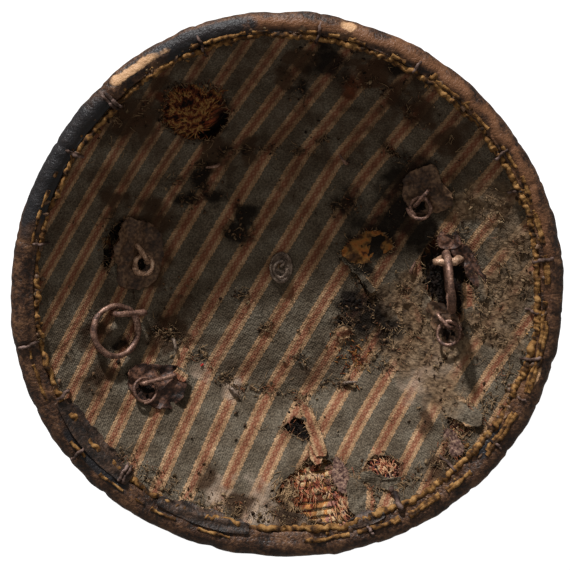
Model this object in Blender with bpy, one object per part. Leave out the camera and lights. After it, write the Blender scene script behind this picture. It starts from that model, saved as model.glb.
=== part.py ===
"""Fist shield: a small round wicker buckler that lies on its boss, open side up.

All sizes are in millimetres and turn into metres where a mesh is made. The upper
face of the lining is the reference surface: a height over the floor for each radius,
drawn slightly out of round towards the rim. Each piece is placed on that surface by
its plan position and by a lift along the surface's normal, upwards being positive.
"""

import math

import bmesh
import bpy
from mathutils import Vector

MM = 0.001
GAP = 0.3
# The floor's axis in plan: the wall is drawn to one side, so it isn't the middle of the box
AXIS_AT = Vector((-2.06, 3.89, 0.0))

# The dish, measured on the lining's upper face
RIM_RADIUS = 190.0
FLOOR_RADIUS = 87.0
FLOOR_RISE = 3.5
LIP_RADIUS = 182.0
WALL_RISE = 48.5
CORNER_SOFTNESS = 0.6
LINING_HEIGHT = 18.5
# Out of round: lobes, share of the radius, direction in degrees. One lobe shifts the rim sideways
WOBBLE = ((1, 0.0299, -73.3), (2, 0.0034, -112.3), (3, 0.0085, -74.6), (4, 0.0033, 96.9))
TURN_STEPS = 48

# Layers under the lining's upper face
LINING = 1.2
WICKER = 8.0
WICKER_TOP = -(LINING + GAP)
WICKER_BACK = WICKER_TOP - WICKER
WICKER_MIDDLE = (WICKER_TOP + WICKER_BACK) / 2
LINING_END = 177.0
NOSE_RADIUS = 179.9

# Leather rim and the cord along its inner edge
RIM_FOLD = 8.1
RIM_COLLAR = 2.8
RIM_BACK_EDGE = 174.5
RIM_BACK = 2.3
CORD = 1.5
CORD_RADIUS = 173.0
CORD_OFF_CENTRE = (1.6, 90.0)

# Iron boss on the back
BOSS_FOOT_RADIUS = 30.0
BOSS_PLATE = 1.5
BOSS_SHOULDER = (62.0, 3.9)
BOSS_FLANGE = (88.5, 95.0)
FLANGE_GAP = 0.5
NAIL_RADIUS = 91.0
NAIL_ANGLES = (-149.0, -114.4, -61.3, 0.0, 60.0, 120.0)
NAIL_SHANK = 1.3
NAIL_HEAD = 4.0
NAIL_CROWN = (2.4, 2.0)
NAIL_BEND = 50.0
NAIL_POINT = 9.0

# Oval washer inside and the eye pin through it
WASHER = 1.4
WASHER_HALF = (8.2, 11.2)
WASHER_HOLE = 2.6
WASHER_STEPS = 14
PIN_AT = (-1.2, 4.5)
PIN_WIRE = 1.2
PIN_CLENCH = 7.0
EYE_AT = Vector((-0.4, -3.4, 0.0))
EYE_HALF = (4.2, 4.4)
EYE_RISE = (3.3, 4.5)
EYE_TURN = (60.0, 370.0)
EYE_SPANS = 8

# Holes for the shanks and legs are this much wider than what goes through them
HOLE_EASE = 1.45
HOLE_SIDES = 5
CLENCH = 6.0
STAPLE_CORNER = 2.2
LARGE_RING = 10.0
PATCH = 1.2
PATCH_LIFT = 0.35

# name: feet of the staple, crown height, staple wire, place of the ring along the
# crown, ring radius, ring wire, plan direction, rise and roll in degrees, and the
# lift of the ring's underside where the crown holds it
HARDWARE = {
    "left_upper": ((-105.0, 23.6), (-97.5, 10.6), 7.4, 1.3, 0.62, 6.4, 1.3, -84.0, 10.0, -14.0, 2.25),
    "left_main": ((-119.8, -24.4), (-100.6, -25.2), 8.6, 2.0, 0.60, 17.4, 2.2, -133.0, 28.0, -14.0, 0.95),
    "left_lower": ((-101.0, -75.2), (-78.4, -71.6), 6.6, 1.2, 0.34, 8.5, 1.1, -135.0, 31.0, -6.0, 2.0),
    "right_upper": ((101.6, 61.6), (94.0, 51.0), 7.8, 1.4, 0.50, 7.4, 1.3, -100.0, -2.0, 16.0, 2.25),
    "right_main": ((111.6, 12.4), (124.0, 13.2), 14.2, 2.0, 0.39, 19.3, 2.3, -87.0, 49.0, 90.0, 4.95),
    "right_lower": ((110.6, -27.4), (119.0, -36.6), 7.4, 1.3, 0.60, 8.2, 1.3, -80.0, 25.0, 14.0, 2.25),
}

# Leather patches under the staples: corners in plan
PATCHES = {
    "left_upper": (
        (-111.0, 42.0), (-92.0, 38.5), (-91.0, 24.0), (-93.5, 4.0), (-103.0, 3.0), (-117.0, 9.0),
        (-120.5, 24.0),
    ),
    "left_lower": (
        (-107.0, -63.0), (-88.0, -63.0), (-72.5, -68.5), (-71.0, -84.0), (-81.0, -93.0), (-96.0, -89.0),
        (-109.0, -77.0),
    ),
    "right_upper": (
        (86.5, 72.0), (102.5, 80.0), (110.0, 69.0), (119.0, 55.0), (106.0, 44.5), (91.0, 45.0), (84.5, 57.0),
    ),
    "right_lower": (
        (103.0, -21.0), (113.0, -20.5), (124.5, -31.0), (125.0, -44.0), (113.5, -46.0), (104.5, -35.0),
    ),
}

# Torn openings of the lining: centre, half sizes, turn in degrees, depth of the tears
TEARS = {
    "upper_left": ((-61.5, 118.5), (22.5, 20.0), 20.0, 0.16),
    "bottom": ((28.0, -150.0), (23.0, 19.0), 10.0, 0.15),
    "lower_right": ((69.5, -132.0), (12.5, 8.0), 15.0, 0.20),
    "slit": ((11.5, -112.5), (11.5, 5.0), -15.0, 0.25),
    "right_centre": ((61.0, 5.0), (24.0, 13.0), -52.0, 0.18),
    "right_main": ((116.0, 3.0), (13.0, 22.0), 6.0, 0.16),
}
TEAR_CORNERS = 11

# Leather strips over the rim's inner edge: from and to in degrees, inner and outer radius
STRIPS = {
    "lower_left": (-152.5, -128.5, 163.9, 177.0),
    "bottom": (-120.5, -98.5, 166.0, 176.5),
    "lower_right": (-76.0, -67.0, 161.5, 175.5),
}
STRIP = 1.2
STRIP_LIFT = 0.45

# Stitches over the rim: direction in degrees, inner and outer radius, drift, wire
STITCHES = (
    (169.8, 166.7, 178.5, 0.4, 1.0),
    (147.4, 167.6, 181.3, 0.4, 1.0),
    (132.3, 169.6, 185.3, 0.3, 1.3),
    (109.0, 168.8, 184.7, 0.2, 1.0),
    (82.7, 169.5, 185.2, -0.3, 1.0),
    (59.5, 171.9, 183.3, -0.4, 1.0),
    (31.4, 168.6, 180.3, 1.0, 1.0),
    (22.1, 166.2, 175.5, -0.6, 0.9),
    (5.4, 170.4, 184.2, 0.6, 1.2),
    (-6.7, 165.9, 174.6, -0.4, 1.0),
    (-17.2, 168.5, 182.0, 2.0, 1.1),
    (-26.4, 175.1, 181.8, 0.0, 0.8),
    (-37.7, 174.4, 184.2, 0.0, 1.0),
    (-48.4, 160.1, 173.4, 0.8, 1.1),
    (-63.0, 159.9, 174.2, 0.0, 2.0),
    (-71.2, 176.0, 182.0, 0.5, 1.0),
    (-130.7, 164.2, 175.9, 0.4, 1.3),
    (-141.0, 177.0, 188.1, 0.3, 1.2),
    (-153.7, 164.7, 173.7, 0.5, 1.2),
    (-167.2, 173.6, 187.7, 0.4, 1.1),
)


def clear_scene():
    for obj in list(bpy.data.objects):
        bpy.data.objects.remove(obj, do_unlink=True)


def finish(name, colour, roughness, metallic=0.0):
    """A Principled material in the part's own colour."""
    material = bpy.data.materials.new(name)
    material.use_nodes = True
    shader = material.node_tree.nodes["Principled BSDF"]
    shader.inputs["Base Color"].default_value = (*colour, 1.0)
    shader.inputs["Roughness"].default_value = roughness
    shader.inputs["Metallic"].default_value = metallic
    return material


# The dish's surface


def out_of_round(angle):
    """How much the wall is drawn outwards in this direction, as a share of its reach past the floor."""
    wobble = sum(share * math.cos(lobes * angle - math.radians(turn)) for lobes, share, turn in WOBBLE)
    return wobble * RIM_RADIUS / (RIM_RADIUS - FLOOR_RADIUS)


def drawn_out(radius, angle):
    return radius + out_of_round(angle) * max(0.0, radius - FLOOR_RADIUS)


def drawn_back(reach, angle):
    """The round dish's radius for a point this far from the axis: the inverse of drawn_out."""
    return reach - max(0.0, reach - FLOOR_RADIUS) * out_of_round(angle) / (1 + out_of_round(angle))


def height(radius):
    """Height of the lining's upper face: a flat floor that turns up into the wall."""
    floor = FLOOR_RISE * (radius / FLOOR_RADIUS) ** 2
    wall = FLOOR_RISE + WALL_RISE * (radius - FLOOR_RADIUS) / (LIP_RADIUS - FLOOR_RADIUS)
    higher = max(floor, wall)
    blend = math.exp((floor - higher) / CORNER_SOFTNESS) + math.exp((wall - higher) / CORNER_SOFTNESS)
    return LINING_HEIGHT + higher + CORNER_SOFTNESS * math.log(blend)


def slope(radius):
    """Angle of the face against the horizontal, along the radius."""
    if radius < 1:
        return 0.0
    return math.atan(height(radius + 0.5) - height(radius - 0.5))


def section(radius, lift=0.0, advance=0.0):
    """(radius, height) of a point lifted off the face and advanced up its slope."""
    tilt = slope(radius)
    return (
        radius - lift * math.sin(tilt) + advance * math.cos(tilt),
        height(radius) + lift * math.cos(tilt) + advance * math.sin(tilt),
    )


def around(flat_point, angle):
    """A (radius, height) point turned to an angle, with the rim's wobble."""
    radius, z = flat_point
    reach = drawn_out(radius, angle)
    return Vector((reach * math.cos(angle), reach * math.sin(angle), z))


def face_height(x, y):
    return height(drawn_back(math.hypot(x, y), math.atan2(y, x)))


def face_normal(x, y):
    step = 0.5
    across = face_height(x + step, y) - face_height(x - step, y)
    along = face_height(x, y + step) - face_height(x, y - step)
    return Vector((-across / (2 * step), -along / (2 * step), 1)).normalized()


def on_face(x, y, lift=0.0):
    return Vector((x, y, face_height(x, y))) + face_normal(x, y) * lift


def about_edge(distance, turn):
    """A point round the middle of the wall's edge, from above it (0) to below it (180)."""
    angle = math.radians(turn)
    return section(NOSE_RADIUS, WICKER_MIDDLE + distance * math.cos(angle), distance * math.sin(angle))


def cord_radius(angle):
    shift, turn = CORD_OFF_CENTRE
    return CORD_RADIUS + shift * math.cos(angle - math.radians(turn))


# Meshes


def add_object(name, points, faces, material, smooth=30.0):
    """An object from points in millimetres, its faces turned outwards."""
    mesh = bpy.data.meshes.new(name)
    mesh.from_pydata([tuple((Vector(point) + AXIS_AT) * MM) for point in points], [], faces)
    shape = bmesh.new()
    shape.from_mesh(mesh)
    bmesh.ops.recalc_face_normals(shape, faces=shape.faces)
    shape.to_mesh(mesh)
    shape.free()
    mesh.shade_smooth()
    mesh.set_sharp_from_angle(angle=math.radians(smooth))
    mesh.materials.append(material)
    obj = bpy.data.objects.new(name, mesh)
    bpy.context.collection.objects.link(obj)
    return obj


def turned(name, profile_at, material, steps=TURN_STEPS):
    """A body turned round the axis. A profile that starts and ends on it is closed by it."""
    points, rings = [], []
    sections = [profile_at(math.tau * step / steps) for step in range(steps)]
    closed_by_axis = sections[0][0][0] == 0
    for row in range(len(sections[0])):
        if closed_by_axis and row in (0, len(sections[0]) - 1):
            points.append((0, 0, sections[0][row][1]))
            rings.append([len(points) - 1] * steps)
            continue
        start = len(points)
        points += [around(sections[step][row], math.tau * step / steps) for step in range(steps)]
        rings.append(list(range(start, start + steps)))
    if not closed_by_axis:
        rings.append(rings[0])
    faces = []
    for lower, upper in zip(rings, rings[1:]):
        for step in range(steps):
            after = (step + 1) % steps
            corners = (lower[step], lower[after], upper[after], upper[step])
            faces.append(tuple(dict.fromkeys(corners)))
    return add_object(name, points, faces, material)


def tube(name, route, radii, sides, material, closed=False):
    """A round bar along a route, whose radius may change from point to point."""
    count = len(route)
    radii = list(radii) if isinstance(radii, (list, tuple)) else [radii] * count
    points, faces = [], []
    across = None
    for index, point in enumerate(route):
        before = route[index - 1] if closed or index else point
        after = route[(index + 1) % count] if closed or index < count - 1 else point
        along = (after - before).normalized()
        if across is None:
            helper = Vector((0, 0, 1)) if abs(along.z) < 0.9 else Vector((1, 0, 0))
            across = along.cross(helper)
        across = (across - along * across.dot(along)).normalized()
        third = along.cross(across)
        for side in range(sides):
            turn = math.tau * side / sides
            points.append(point + (across * math.cos(turn) + third * math.sin(turn)) * radii[index])
    spans = count if closed else count - 1
    for span in range(spans):
        base, top = span * sides, (span + 1) % count * sides
        for side in range(sides):
            after = (side + 1) % sides
            faces.append((base + side, base + after, top + after, top + side))
    if not closed:
        faces.append(tuple(range(sides)))
        faces.append(tuple(range((count - 1) * sides, count * sides)))
    return add_object(name, points, faces, material)


def slab(name, rows, thickness, material):
    """A thin sheet over a grid of points, thickened along its own normals."""
    count, width = len(rows), len(rows[0])
    lower = [point for row in rows for point in row]
    upper = []
    for index in range(count):
        for column in range(width):
            ahead = rows[min(index + 1, count - 1)][column] - rows[max(index - 1, 0)][column]
            aside = rows[index][min(column + 1, width - 1)] - rows[index][max(column - 1, 0)]
            normal = ahead.cross(aside).normalized()
            upper.append(rows[index][column] + normal * (thickness if normal.z > 0 else -thickness))
    faces = []
    for index in range(count - 1):
        for column in range(width - 1):
            a = index * width + column
            corners = (a, a + 1, a + 1 + width, a + width)
            faces.append(corners)
            faces.append(tuple(corner + len(lower) for corner in reversed(corners)))
    edge = [column for column in range(width)]
    edge += [index * width + width - 1 for index in range(1, count)]
    edge += [(count - 1) * width + column for column in range(width - 2, -1, -1)]
    edge += [index * width for index in range(count - 2, 0, -1)]
    for here, there in zip(edge, edge[1:] + edge[:1]):
        faces.append((here, there, there + len(lower), here + len(lower)))
    return add_object(name, lower + upper, faces, material)


def plate(name, outline, thickness, lift, material):
    """A flat piece cut to an outline and laid on the dish, with one ring of inner points."""
    middle = Vector((sum(x for x, _ in outline), sum(y for _, y in outline))) / len(outline)
    rings = [[Vector(corner) * share + middle * (1 - share) for corner in outline] for share in (1.0, 0.5)]
    plan = [point for ring in rings for point in ring] + [middle]
    corners = len(outline)
    faces = []
    for index in range(corners):
        after = (index + 1) % corners
        faces.append((index, after, corners + after, corners + index))
        faces.append((corners + index, corners + after, 2 * corners))
    size = len(plan)
    sides = [(index, (index + 1) % corners) for index in range(corners)]
    faces += [tuple(point + size for point in reversed(face)) for face in faces]
    faces += [(b, a, a + size, b + size) for a, b in sides]
    points = [on_face(x, y, lift) for x, y in plan] + [on_face(x, y, lift + thickness) for x, y in plan]
    return add_object(name, points, faces, material)


def add_cutter(name, parts):
    """One hidden object from several (points, faces) shapes that stay apart."""
    points, faces = [], []
    for part_points, part_faces in parts:
        faces += [tuple(corner + len(points) for corner in face) for face in part_faces]
        points += part_points
    cutter = add_object(name, points, faces, MATERIALS["iron"])
    cutter.hide_render = True
    cutter.display_type = "WIRE"
    return cutter


def prism(bottom, top):
    """(points, faces) of a prism between two outlines of the same count."""
    count = len(bottom)
    faces = [tuple(range(count)), tuple(range(2 * count - 1, count - 1, -1))]
    faces += [(a, (a + 1) % count, (a + 1) % count + count, a + count) for a in range(count)]
    return list(bottom) + list(top), faces


def drill(foot, normal, radius):
    """A hole along a normal, right through patch, lining and wicker."""
    across = normal.orthogonal().normalized()
    third = normal.cross(across)
    turns = [math.tau * side / HOLE_SIDES for side in range(HOLE_SIDES)]
    spokes = [across * math.cos(turn) + third * math.sin(turn) for turn in turns]
    low, high = foot + normal * (WICKER_BACK - 6.0), foot + normal * 6.0
    return prism([low + spoke * radius for spoke in spokes], [high + spoke * radius for spoke in spokes])


def cut(target, cutter):
    modifier = target.modifiers.new(cutter.name, "BOOLEAN")
    modifier.operation = "DIFFERENCE"
    modifier.object = cutter


# The pieces


def make_wicker():
    """The coiled cane bowl as one wall of even thickness with a rounded edge."""
    inner = (0.0, 40.0, 83.0, 91.0)

    def profile(_angle):
        top = [section(radius, WICKER_TOP) for radius in inner]
        nose = [about_edge(WICKER / 2, turn) for turn in (0.0, 60.0, 120.0, 180.0)]
        back = [section(radius, WICKER_BACK) for radius in reversed(inner)]
        return top + nose + back

    return turned("shield_body", profile, MATERIALS["wicker"])


def make_lining():
    """The striped cloth glued to the bowl, up to where the rim leather covers it."""
    radii = (0.0, 40.0, 83.0, 91.0, LINING_END)

    def profile(_angle):
        top = [section(radius) for radius in radii]
        under = [section(radius, -LINING) for radius in reversed(radii)]
        return top + under

    return turned("lining", profile, MATERIALS["cloth"])


def make_rim():
    """Leather folded over the edge, sewn down inside and out."""

    def profile(angle):
        edge = cord_radius(angle) + CORD + GAP
        upper = [section(edge, GAP), section(edge + 1.2, RIM_COLLAR)]
        fold = [about_edge(RIM_FOLD, turn) for turn in (5.0, 45.0, 90.0, 135.0, 172.0)]
        lower = [section(RIM_BACK_EDGE, WICKER_BACK - RIM_BACK), section(RIM_BACK_EDGE, WICKER_BACK - GAP)]
        inside = [about_edge(WICKER / 2 + GAP + 0.05, turn) for turn in (180.0, 120.0, 60.0, 0.0)]
        return upper + fold + lower + inside + [section(LINING_END + 1.2, GAP)]

    return turned("rim_leather", profile, MATERIALS["rim_leather"])


def make_cord():
    """The yellow cord in the corner between rim leather and lining."""

    def profile(angle):
        rows = []
        for side in range(5):
            turn = math.radians(90 + 72 * side)
            lift = CORD + GAP + 0.1 + CORD * math.sin(turn)
            rows.append(section(cord_radius(angle), lift, (CORD - 0.15) * math.cos(turn)))
        return rows

    return turned("rim_cord", profile, MATERIALS["cord"])


def make_boss():
    """The iron plate over the middle of the back: flat foot, low dome, nailed flange."""

    def profile(_angle):
        shoulder_radius, shoulder_height = BOSS_SHOULDER
        near, far = BOSS_FLANGE
        under = WICKER_BACK - FLANGE_GAP
        outside = [(0.0, 0.0), (BOSS_FOOT_RADIUS, 0.0), (shoulder_radius, shoulder_height)]
        outside += [section(near, under - BOSS_PLATE), section(far, under - BOSS_PLATE)]
        inside = [section(far, under), section(near, under)]
        inside += [(shoulder_radius - 0.5, shoulder_height + BOSS_PLATE)]
        inside += [(BOSS_FOOT_RADIUS - 0.5, BOSS_PLATE), (0.0, BOSS_PLATE)]
        return outside + inside

    return turned("boss", profile, MATERIALS["iron"], steps=36)


def nail_foot(angle):
    return around(section(NAIL_RADIUS), math.radians(angle))


def make_boss_nail(number, angle):
    """A nail through flange, bowl and lining, its point bent over on the lining."""
    foot = nail_foot(angle)
    normal = face_normal(foot.x, foot.y)
    outside = WICKER_BACK - FLANGE_GAP - BOSS_PLATE - GAP
    turn = math.radians(angle + NAIL_BEND)
    away = Vector((math.cos(turn), math.sin(turn), 0))
    away = (away - normal * away.dot(normal)).normalized()
    bend = NAIL_SHANK + GAP + 0.7
    crown_radius, crown_rise = NAIL_CROWN
    route = [
        foot + normal * (outside - crown_rise),
        foot + normal * (outside - crown_rise * 0.7),
        foot + normal * outside,
        foot + normal * (outside + 0.01),
        foot + normal * bend,
        foot + normal * (bend + 1.2) + away * 1.6,
        foot + normal * (bend + 0.6) + away * NAIL_POINT,
    ]
    radii = [crown_radius, NAIL_HEAD, NAIL_HEAD, NAIL_SHANK, NAIL_SHANK, NAIL_SHANK, NAIL_SHANK * 0.6]
    return tube(f"boss_nail_{number}", route, radii, 6, MATERIALS["iron"])


def make_washer():
    """The oval iron washer under the pin's eye; its hole sits off its middle."""
    x, y = PIN_AT
    rows = []
    for lift in (GAP, GAP + WASHER):
        for share in (1.0, 0.0):
            wide, long = (WASHER_HOLE + (half - WASHER_HOLE) * share for half in WASHER_HALF)
            for step in range(WASHER_STEPS):
                turn = math.tau * step / WASHER_STEPS
                rows.append(on_face(x + wide * math.cos(turn), y - share + long * math.sin(turn), lift))
    faces = []
    for step in range(WASHER_STEPS):
        after = (step + 1) % WASHER_STEPS
        loops = [(row * WASHER_STEPS + step, row * WASHER_STEPS + after) for row in (0, 1, 3, 2)]
        for (a, b), (c, d) in zip(loops, loops[1:] + loops[:1]):
            faces.append((a, b, d, c))
    return add_object("centre_washer", rows, faces, MATERIALS["iron"])


def make_pin():
    """The centre pin: clenched behind the bowl, its eye folded down on the washer."""
    foot = on_face(*PIN_AT)
    back = WICKER_BACK - GAP - PIN_WIRE
    route = [
        foot + Vector((0, PIN_CLENCH, back)),
        foot + Vector((0, PIN_WIRE, back)),
        foot + Vector((0, 0, back + 1.4)),
        foot + Vector((0, 0, 2.0)),
    ]
    for span in range(EYE_SPANS + 1):
        share = span / EYE_SPANS
        turn = math.radians(EYE_TURN[0] + (EYE_TURN[1] - EYE_TURN[0]) * share)
        rise = EYE_RISE[0] + (EYE_RISE[1] - EYE_RISE[0]) * share
        spot = Vector((math.cos(turn) * EYE_HALF[0], math.sin(turn) * EYE_HALF[1], rise))
        route.append(foot + EYE_AT + spot)
    return tube("centre_pin", route, PIN_WIRE, 5, MATERIALS["iron"])


def staple_frame(name):
    """Feet, shared normal and direction of one staple."""
    first, second = (Vector(foot) for foot in HARDWARE[name][:2])
    middle = (first + second) / 2
    feet = on_face(*first), on_face(*second)
    return feet, face_normal(*middle), (feet[1] - feet[0]).normalized()


def make_staple(name):
    """A bent iron staple, its two legs clenched over behind the bowl."""
    (left, right), normal, along = staple_frame(name)
    crown, wire = HARDWARE[name][2:4]
    back = WICKER_BACK - 2 * GAP - wire
    uphill = Vector((left.x + right.x, left.y + right.y, 0))
    clench = (uphill - normal * uphill.dot(normal)).normalized() * CLENCH
    route = [
        left + normal * back + clench,
        left + normal * back,
        left + normal * (crown - STAPLE_CORNER),
        left + normal * crown + along * STAPLE_CORNER,
        right + normal * crown - along * STAPLE_CORNER,
        right + normal * (crown - STAPLE_CORNER),
        right + normal * back,
        right + normal * back + clench,
    ]
    return tube(f"staple_{name}", route, wire, 5, MATERIALS["iron"])


def make_ring(name):
    """An iron ring held under the crown of its staple."""
    first, second = (Vector(foot) for foot in HARDWARE[name][:2])
    share, radius, wire, heading, rise, roll, lift = HARDWARE[name][4:]
    held = first + (second - first) * share
    start = on_face(held.x, held.y, lift + wire)
    heading, rise, roll = (math.radians(value) for value in (heading, rise, roll))
    level = Vector((math.cos(heading), math.sin(heading), 0))
    outward = level * math.cos(rise) + Vector((0, 0, math.sin(rise)))
    side = Vector((-level.y, level.x, 0))
    across = side * math.cos(roll) + outward.cross(side) * math.sin(roll)
    steps = 24 if radius > LARGE_RING else 17
    route = []
    for step in range(steps):
        turn = math.tau * step / steps
        route.append(start + outward * radius * (1 - math.cos(turn)) + across * radius * math.sin(turn))
    return tube(f"ring_{name}", route, wire, 6 if radius > LARGE_RING else 5, MATERIALS["iron"], closed=True)


def over_rim(angle, lift):
    """(radius, height) points at this lift over lining, cord, rim leather and fold."""
    cord = cord_radius(angle)
    top = GAP + 2 * CORD + 0.1 + lift
    return [
        section(155.0, lift),
        section(cord - 3.2 - lift / 2, lift),
        section(cord - 1.4, top),
        section(cord + 1.4, top + 0.1),
        section(cord + CORD + GAP + 1.4, RIM_COLLAR + lift + 0.1),
    ] + [about_edge(RIM_FOLD + lift + 0.1, turn) for turn in (5.0, 45.0, 90.0)]


def over_rim_between(angle, low, high, lift):
    """The part of that line between two radii, with its two ends worked in."""
    points = over_rim(angle, lift)
    kept = [point for point in points if low < point[0] < high]
    for before, after in zip(points, points[1:]):
        for limit in (low, high):
            if before[0] <= limit < after[0]:
                share = (limit - before[0]) / (after[0] - before[0])
                kept.append((limit, before[1] + share * (after[1] - before[1])))
    return sorted(kept)


def under_strip(degrees):
    return any(start - 3 < degrees < end + 3 for start, end, _, _ in STRIPS.values())


def make_stitch(number, degrees, low, high, drift, wire):
    """A thong over the rim, from the lining or the cord up to the leather."""
    angle = math.radians(degrees)
    lift = wire + GAP + 0.1 + (STRIP + 0.9 if under_strip(degrees) else 0.0)
    flat = over_rim_between(angle, low, high, lift)
    route = []
    for radius, z in flat:
        share = (radius - low) / (high - low) - 0.5
        route.append(around((radius, z), angle + math.radians(drift) * share))
    return tube(f"rim_stitch_{number:02d}", route, wire, 4, MATERIALS["thong"])


def make_strip(name, start, end, low, high):
    """A leather strip laid over the cord and the rim's inner edge, narrower at its ends."""
    steps = round((end - start) / 4)
    rows = []
    for step in range(steps + 1):
        angle = math.radians(start + (end - start) * step / steps)
        foot = low + 3.0 * (1 - math.sin(math.pi * step / steps))
        line = over_rim(angle, STRIP_LIFT)[1:5]
        reach = over_rim_between(angle, foot, high, STRIP_LIFT)
        rows.append([around(point, angle) for point in [reach[0], *line, reach[-1]]])
    return slab(f"edge_strip_{name}", rows, STRIP, MATERIALS["patch_leather"])


def tear_outline(centre, halves, turn, depth, number):
    """An irregular closed outline: an ellipse whose edge runs in and out."""
    turn = math.radians(turn)
    outline = []
    for corner in range(TEAR_CORNERS):
        angle = math.tau * corner / TEAR_CORNERS
        waves = math.sin(2.6 * corner + number) + 0.6 * math.cos(5.1 * corner + 2 * number)
        rough = 1 + depth * waves / 1.6
        wide, long = halves[0] * rough * math.cos(angle), halves[1] * rough * math.sin(angle)
        x = centre[0] + wide * math.cos(turn) - long * math.sin(turn)
        y = centre[1] + wide * math.sin(turn) + long * math.cos(turn)
        outline.append((x, y))
    return outline


def make_cutters():
    """All the drilled holes as one cutter, and the lining's tears as another."""
    holes = []
    for name, values in HARDWARE.items():
        feet, normal, _ = staple_frame(name)
        holes += [drill(foot, normal, values[3] * HOLE_EASE) for foot in feet]
    for angle in NAIL_ANGLES:
        foot = nail_foot(angle)
        holes.append(drill(foot, face_normal(foot.x, foot.y), NAIL_SHANK * HOLE_EASE))
    holes.append(drill(on_face(*PIN_AT), Vector((0, 0, 1)), PIN_WIRE * HOLE_EASE))
    tears = []
    for number, (centre, halves, turn, depth) in enumerate(TEARS.values()):
        outline = tear_outline(centre, halves, turn, depth, number)
        bottom = [on_face(x, y, -LINING - 1.0) for x, y in outline]
        tears.append(prism(bottom, [on_face(x, y, 2.0) for x, y in outline]))
    return add_cutter("drilled_holes", holes), add_cutter("lining_tears", tears)


def main():
    drilled, tears = make_cutters()
    body, lining = make_wicker(), make_lining()
    boss = make_boss()
    make_rim()
    make_cord()
    for target in (body, lining, boss):
        cut(target, drilled)
    cut(lining, tears)
    for number, angle in enumerate(NAIL_ANGLES, start=1):
        make_boss_nail(number, angle)
    make_washer()
    make_pin()
    for name in HARDWARE:
        make_staple(name)
        make_ring(name)
    for name, outline in PATCHES.items():
        cut(plate(f"patch_{name}", outline, PATCH, PATCH_LIFT, MATERIALS["patch_leather"]), drilled)
    for name, strip in STRIPS.items():
        make_strip(name, *strip)
    for number, stitch in enumerate(STITCHES, start=1):
        make_stitch(number, *stitch)


clear_scene()
MATERIALS = {
    "wicker": finish("wound_cane", (0.20, 0.10, 0.04), 0.85),
    "cloth": finish("striped_lining", (0.16, 0.12, 0.08), 0.95),
    "rim_leather": finish("rim_leather", (0.09, 0.055, 0.04), 0.6),
    "patch_leather": finish("patch_leather", (0.08, 0.055, 0.05), 0.7),
    "cord": finish("yellow_cord", (0.36, 0.22, 0.06), 0.8),
    "thong": finish("stitch_thong", (0.12, 0.08, 0.06), 0.7),
    "iron": finish("rusted_iron", (0.12, 0.07, 0.055), 0.7, 0.6),
}
main()
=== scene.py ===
"""Fist shield: the dressed model of a small round wicker buckler that lies open side up.

Sizes are in millimetres, relative to the dish's axis, and turn into metres in the row
frame when a mesh gets its points. Everything is laid on one reference surface, the
upper face of the lining, by a plan position and a lift along the surface's normal.
"""

import logging
import math
from dataclasses import dataclass, field
from enum import Enum
from typing import Callable, Sequence

import bpy
import numpy as np
from mathutils import Matrix, Vector


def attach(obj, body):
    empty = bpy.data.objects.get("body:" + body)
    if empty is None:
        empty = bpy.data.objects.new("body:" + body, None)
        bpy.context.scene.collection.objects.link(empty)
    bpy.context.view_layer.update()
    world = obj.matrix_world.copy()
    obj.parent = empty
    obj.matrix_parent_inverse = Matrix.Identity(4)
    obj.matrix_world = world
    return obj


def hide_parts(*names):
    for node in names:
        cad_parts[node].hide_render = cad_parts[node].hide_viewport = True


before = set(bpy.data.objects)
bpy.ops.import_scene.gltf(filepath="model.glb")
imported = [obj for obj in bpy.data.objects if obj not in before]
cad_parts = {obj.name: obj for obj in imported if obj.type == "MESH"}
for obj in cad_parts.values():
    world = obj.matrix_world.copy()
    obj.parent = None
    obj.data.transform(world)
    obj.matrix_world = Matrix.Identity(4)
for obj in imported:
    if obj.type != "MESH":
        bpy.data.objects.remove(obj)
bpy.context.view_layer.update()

MM = 0.001
TAU = math.tau
LOG = logging.getLogger("fist_shield")
Plan = Sequence[tuple[float, float]]
Array = np.ndarray
Piece = bpy.types.Object
Material = bpy.types.Material
Tree = bpy.types.NodeTree
Socket = bpy.types.NodeSocket
Lift = Callable[[Array, Array], Array]


# The dish


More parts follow.
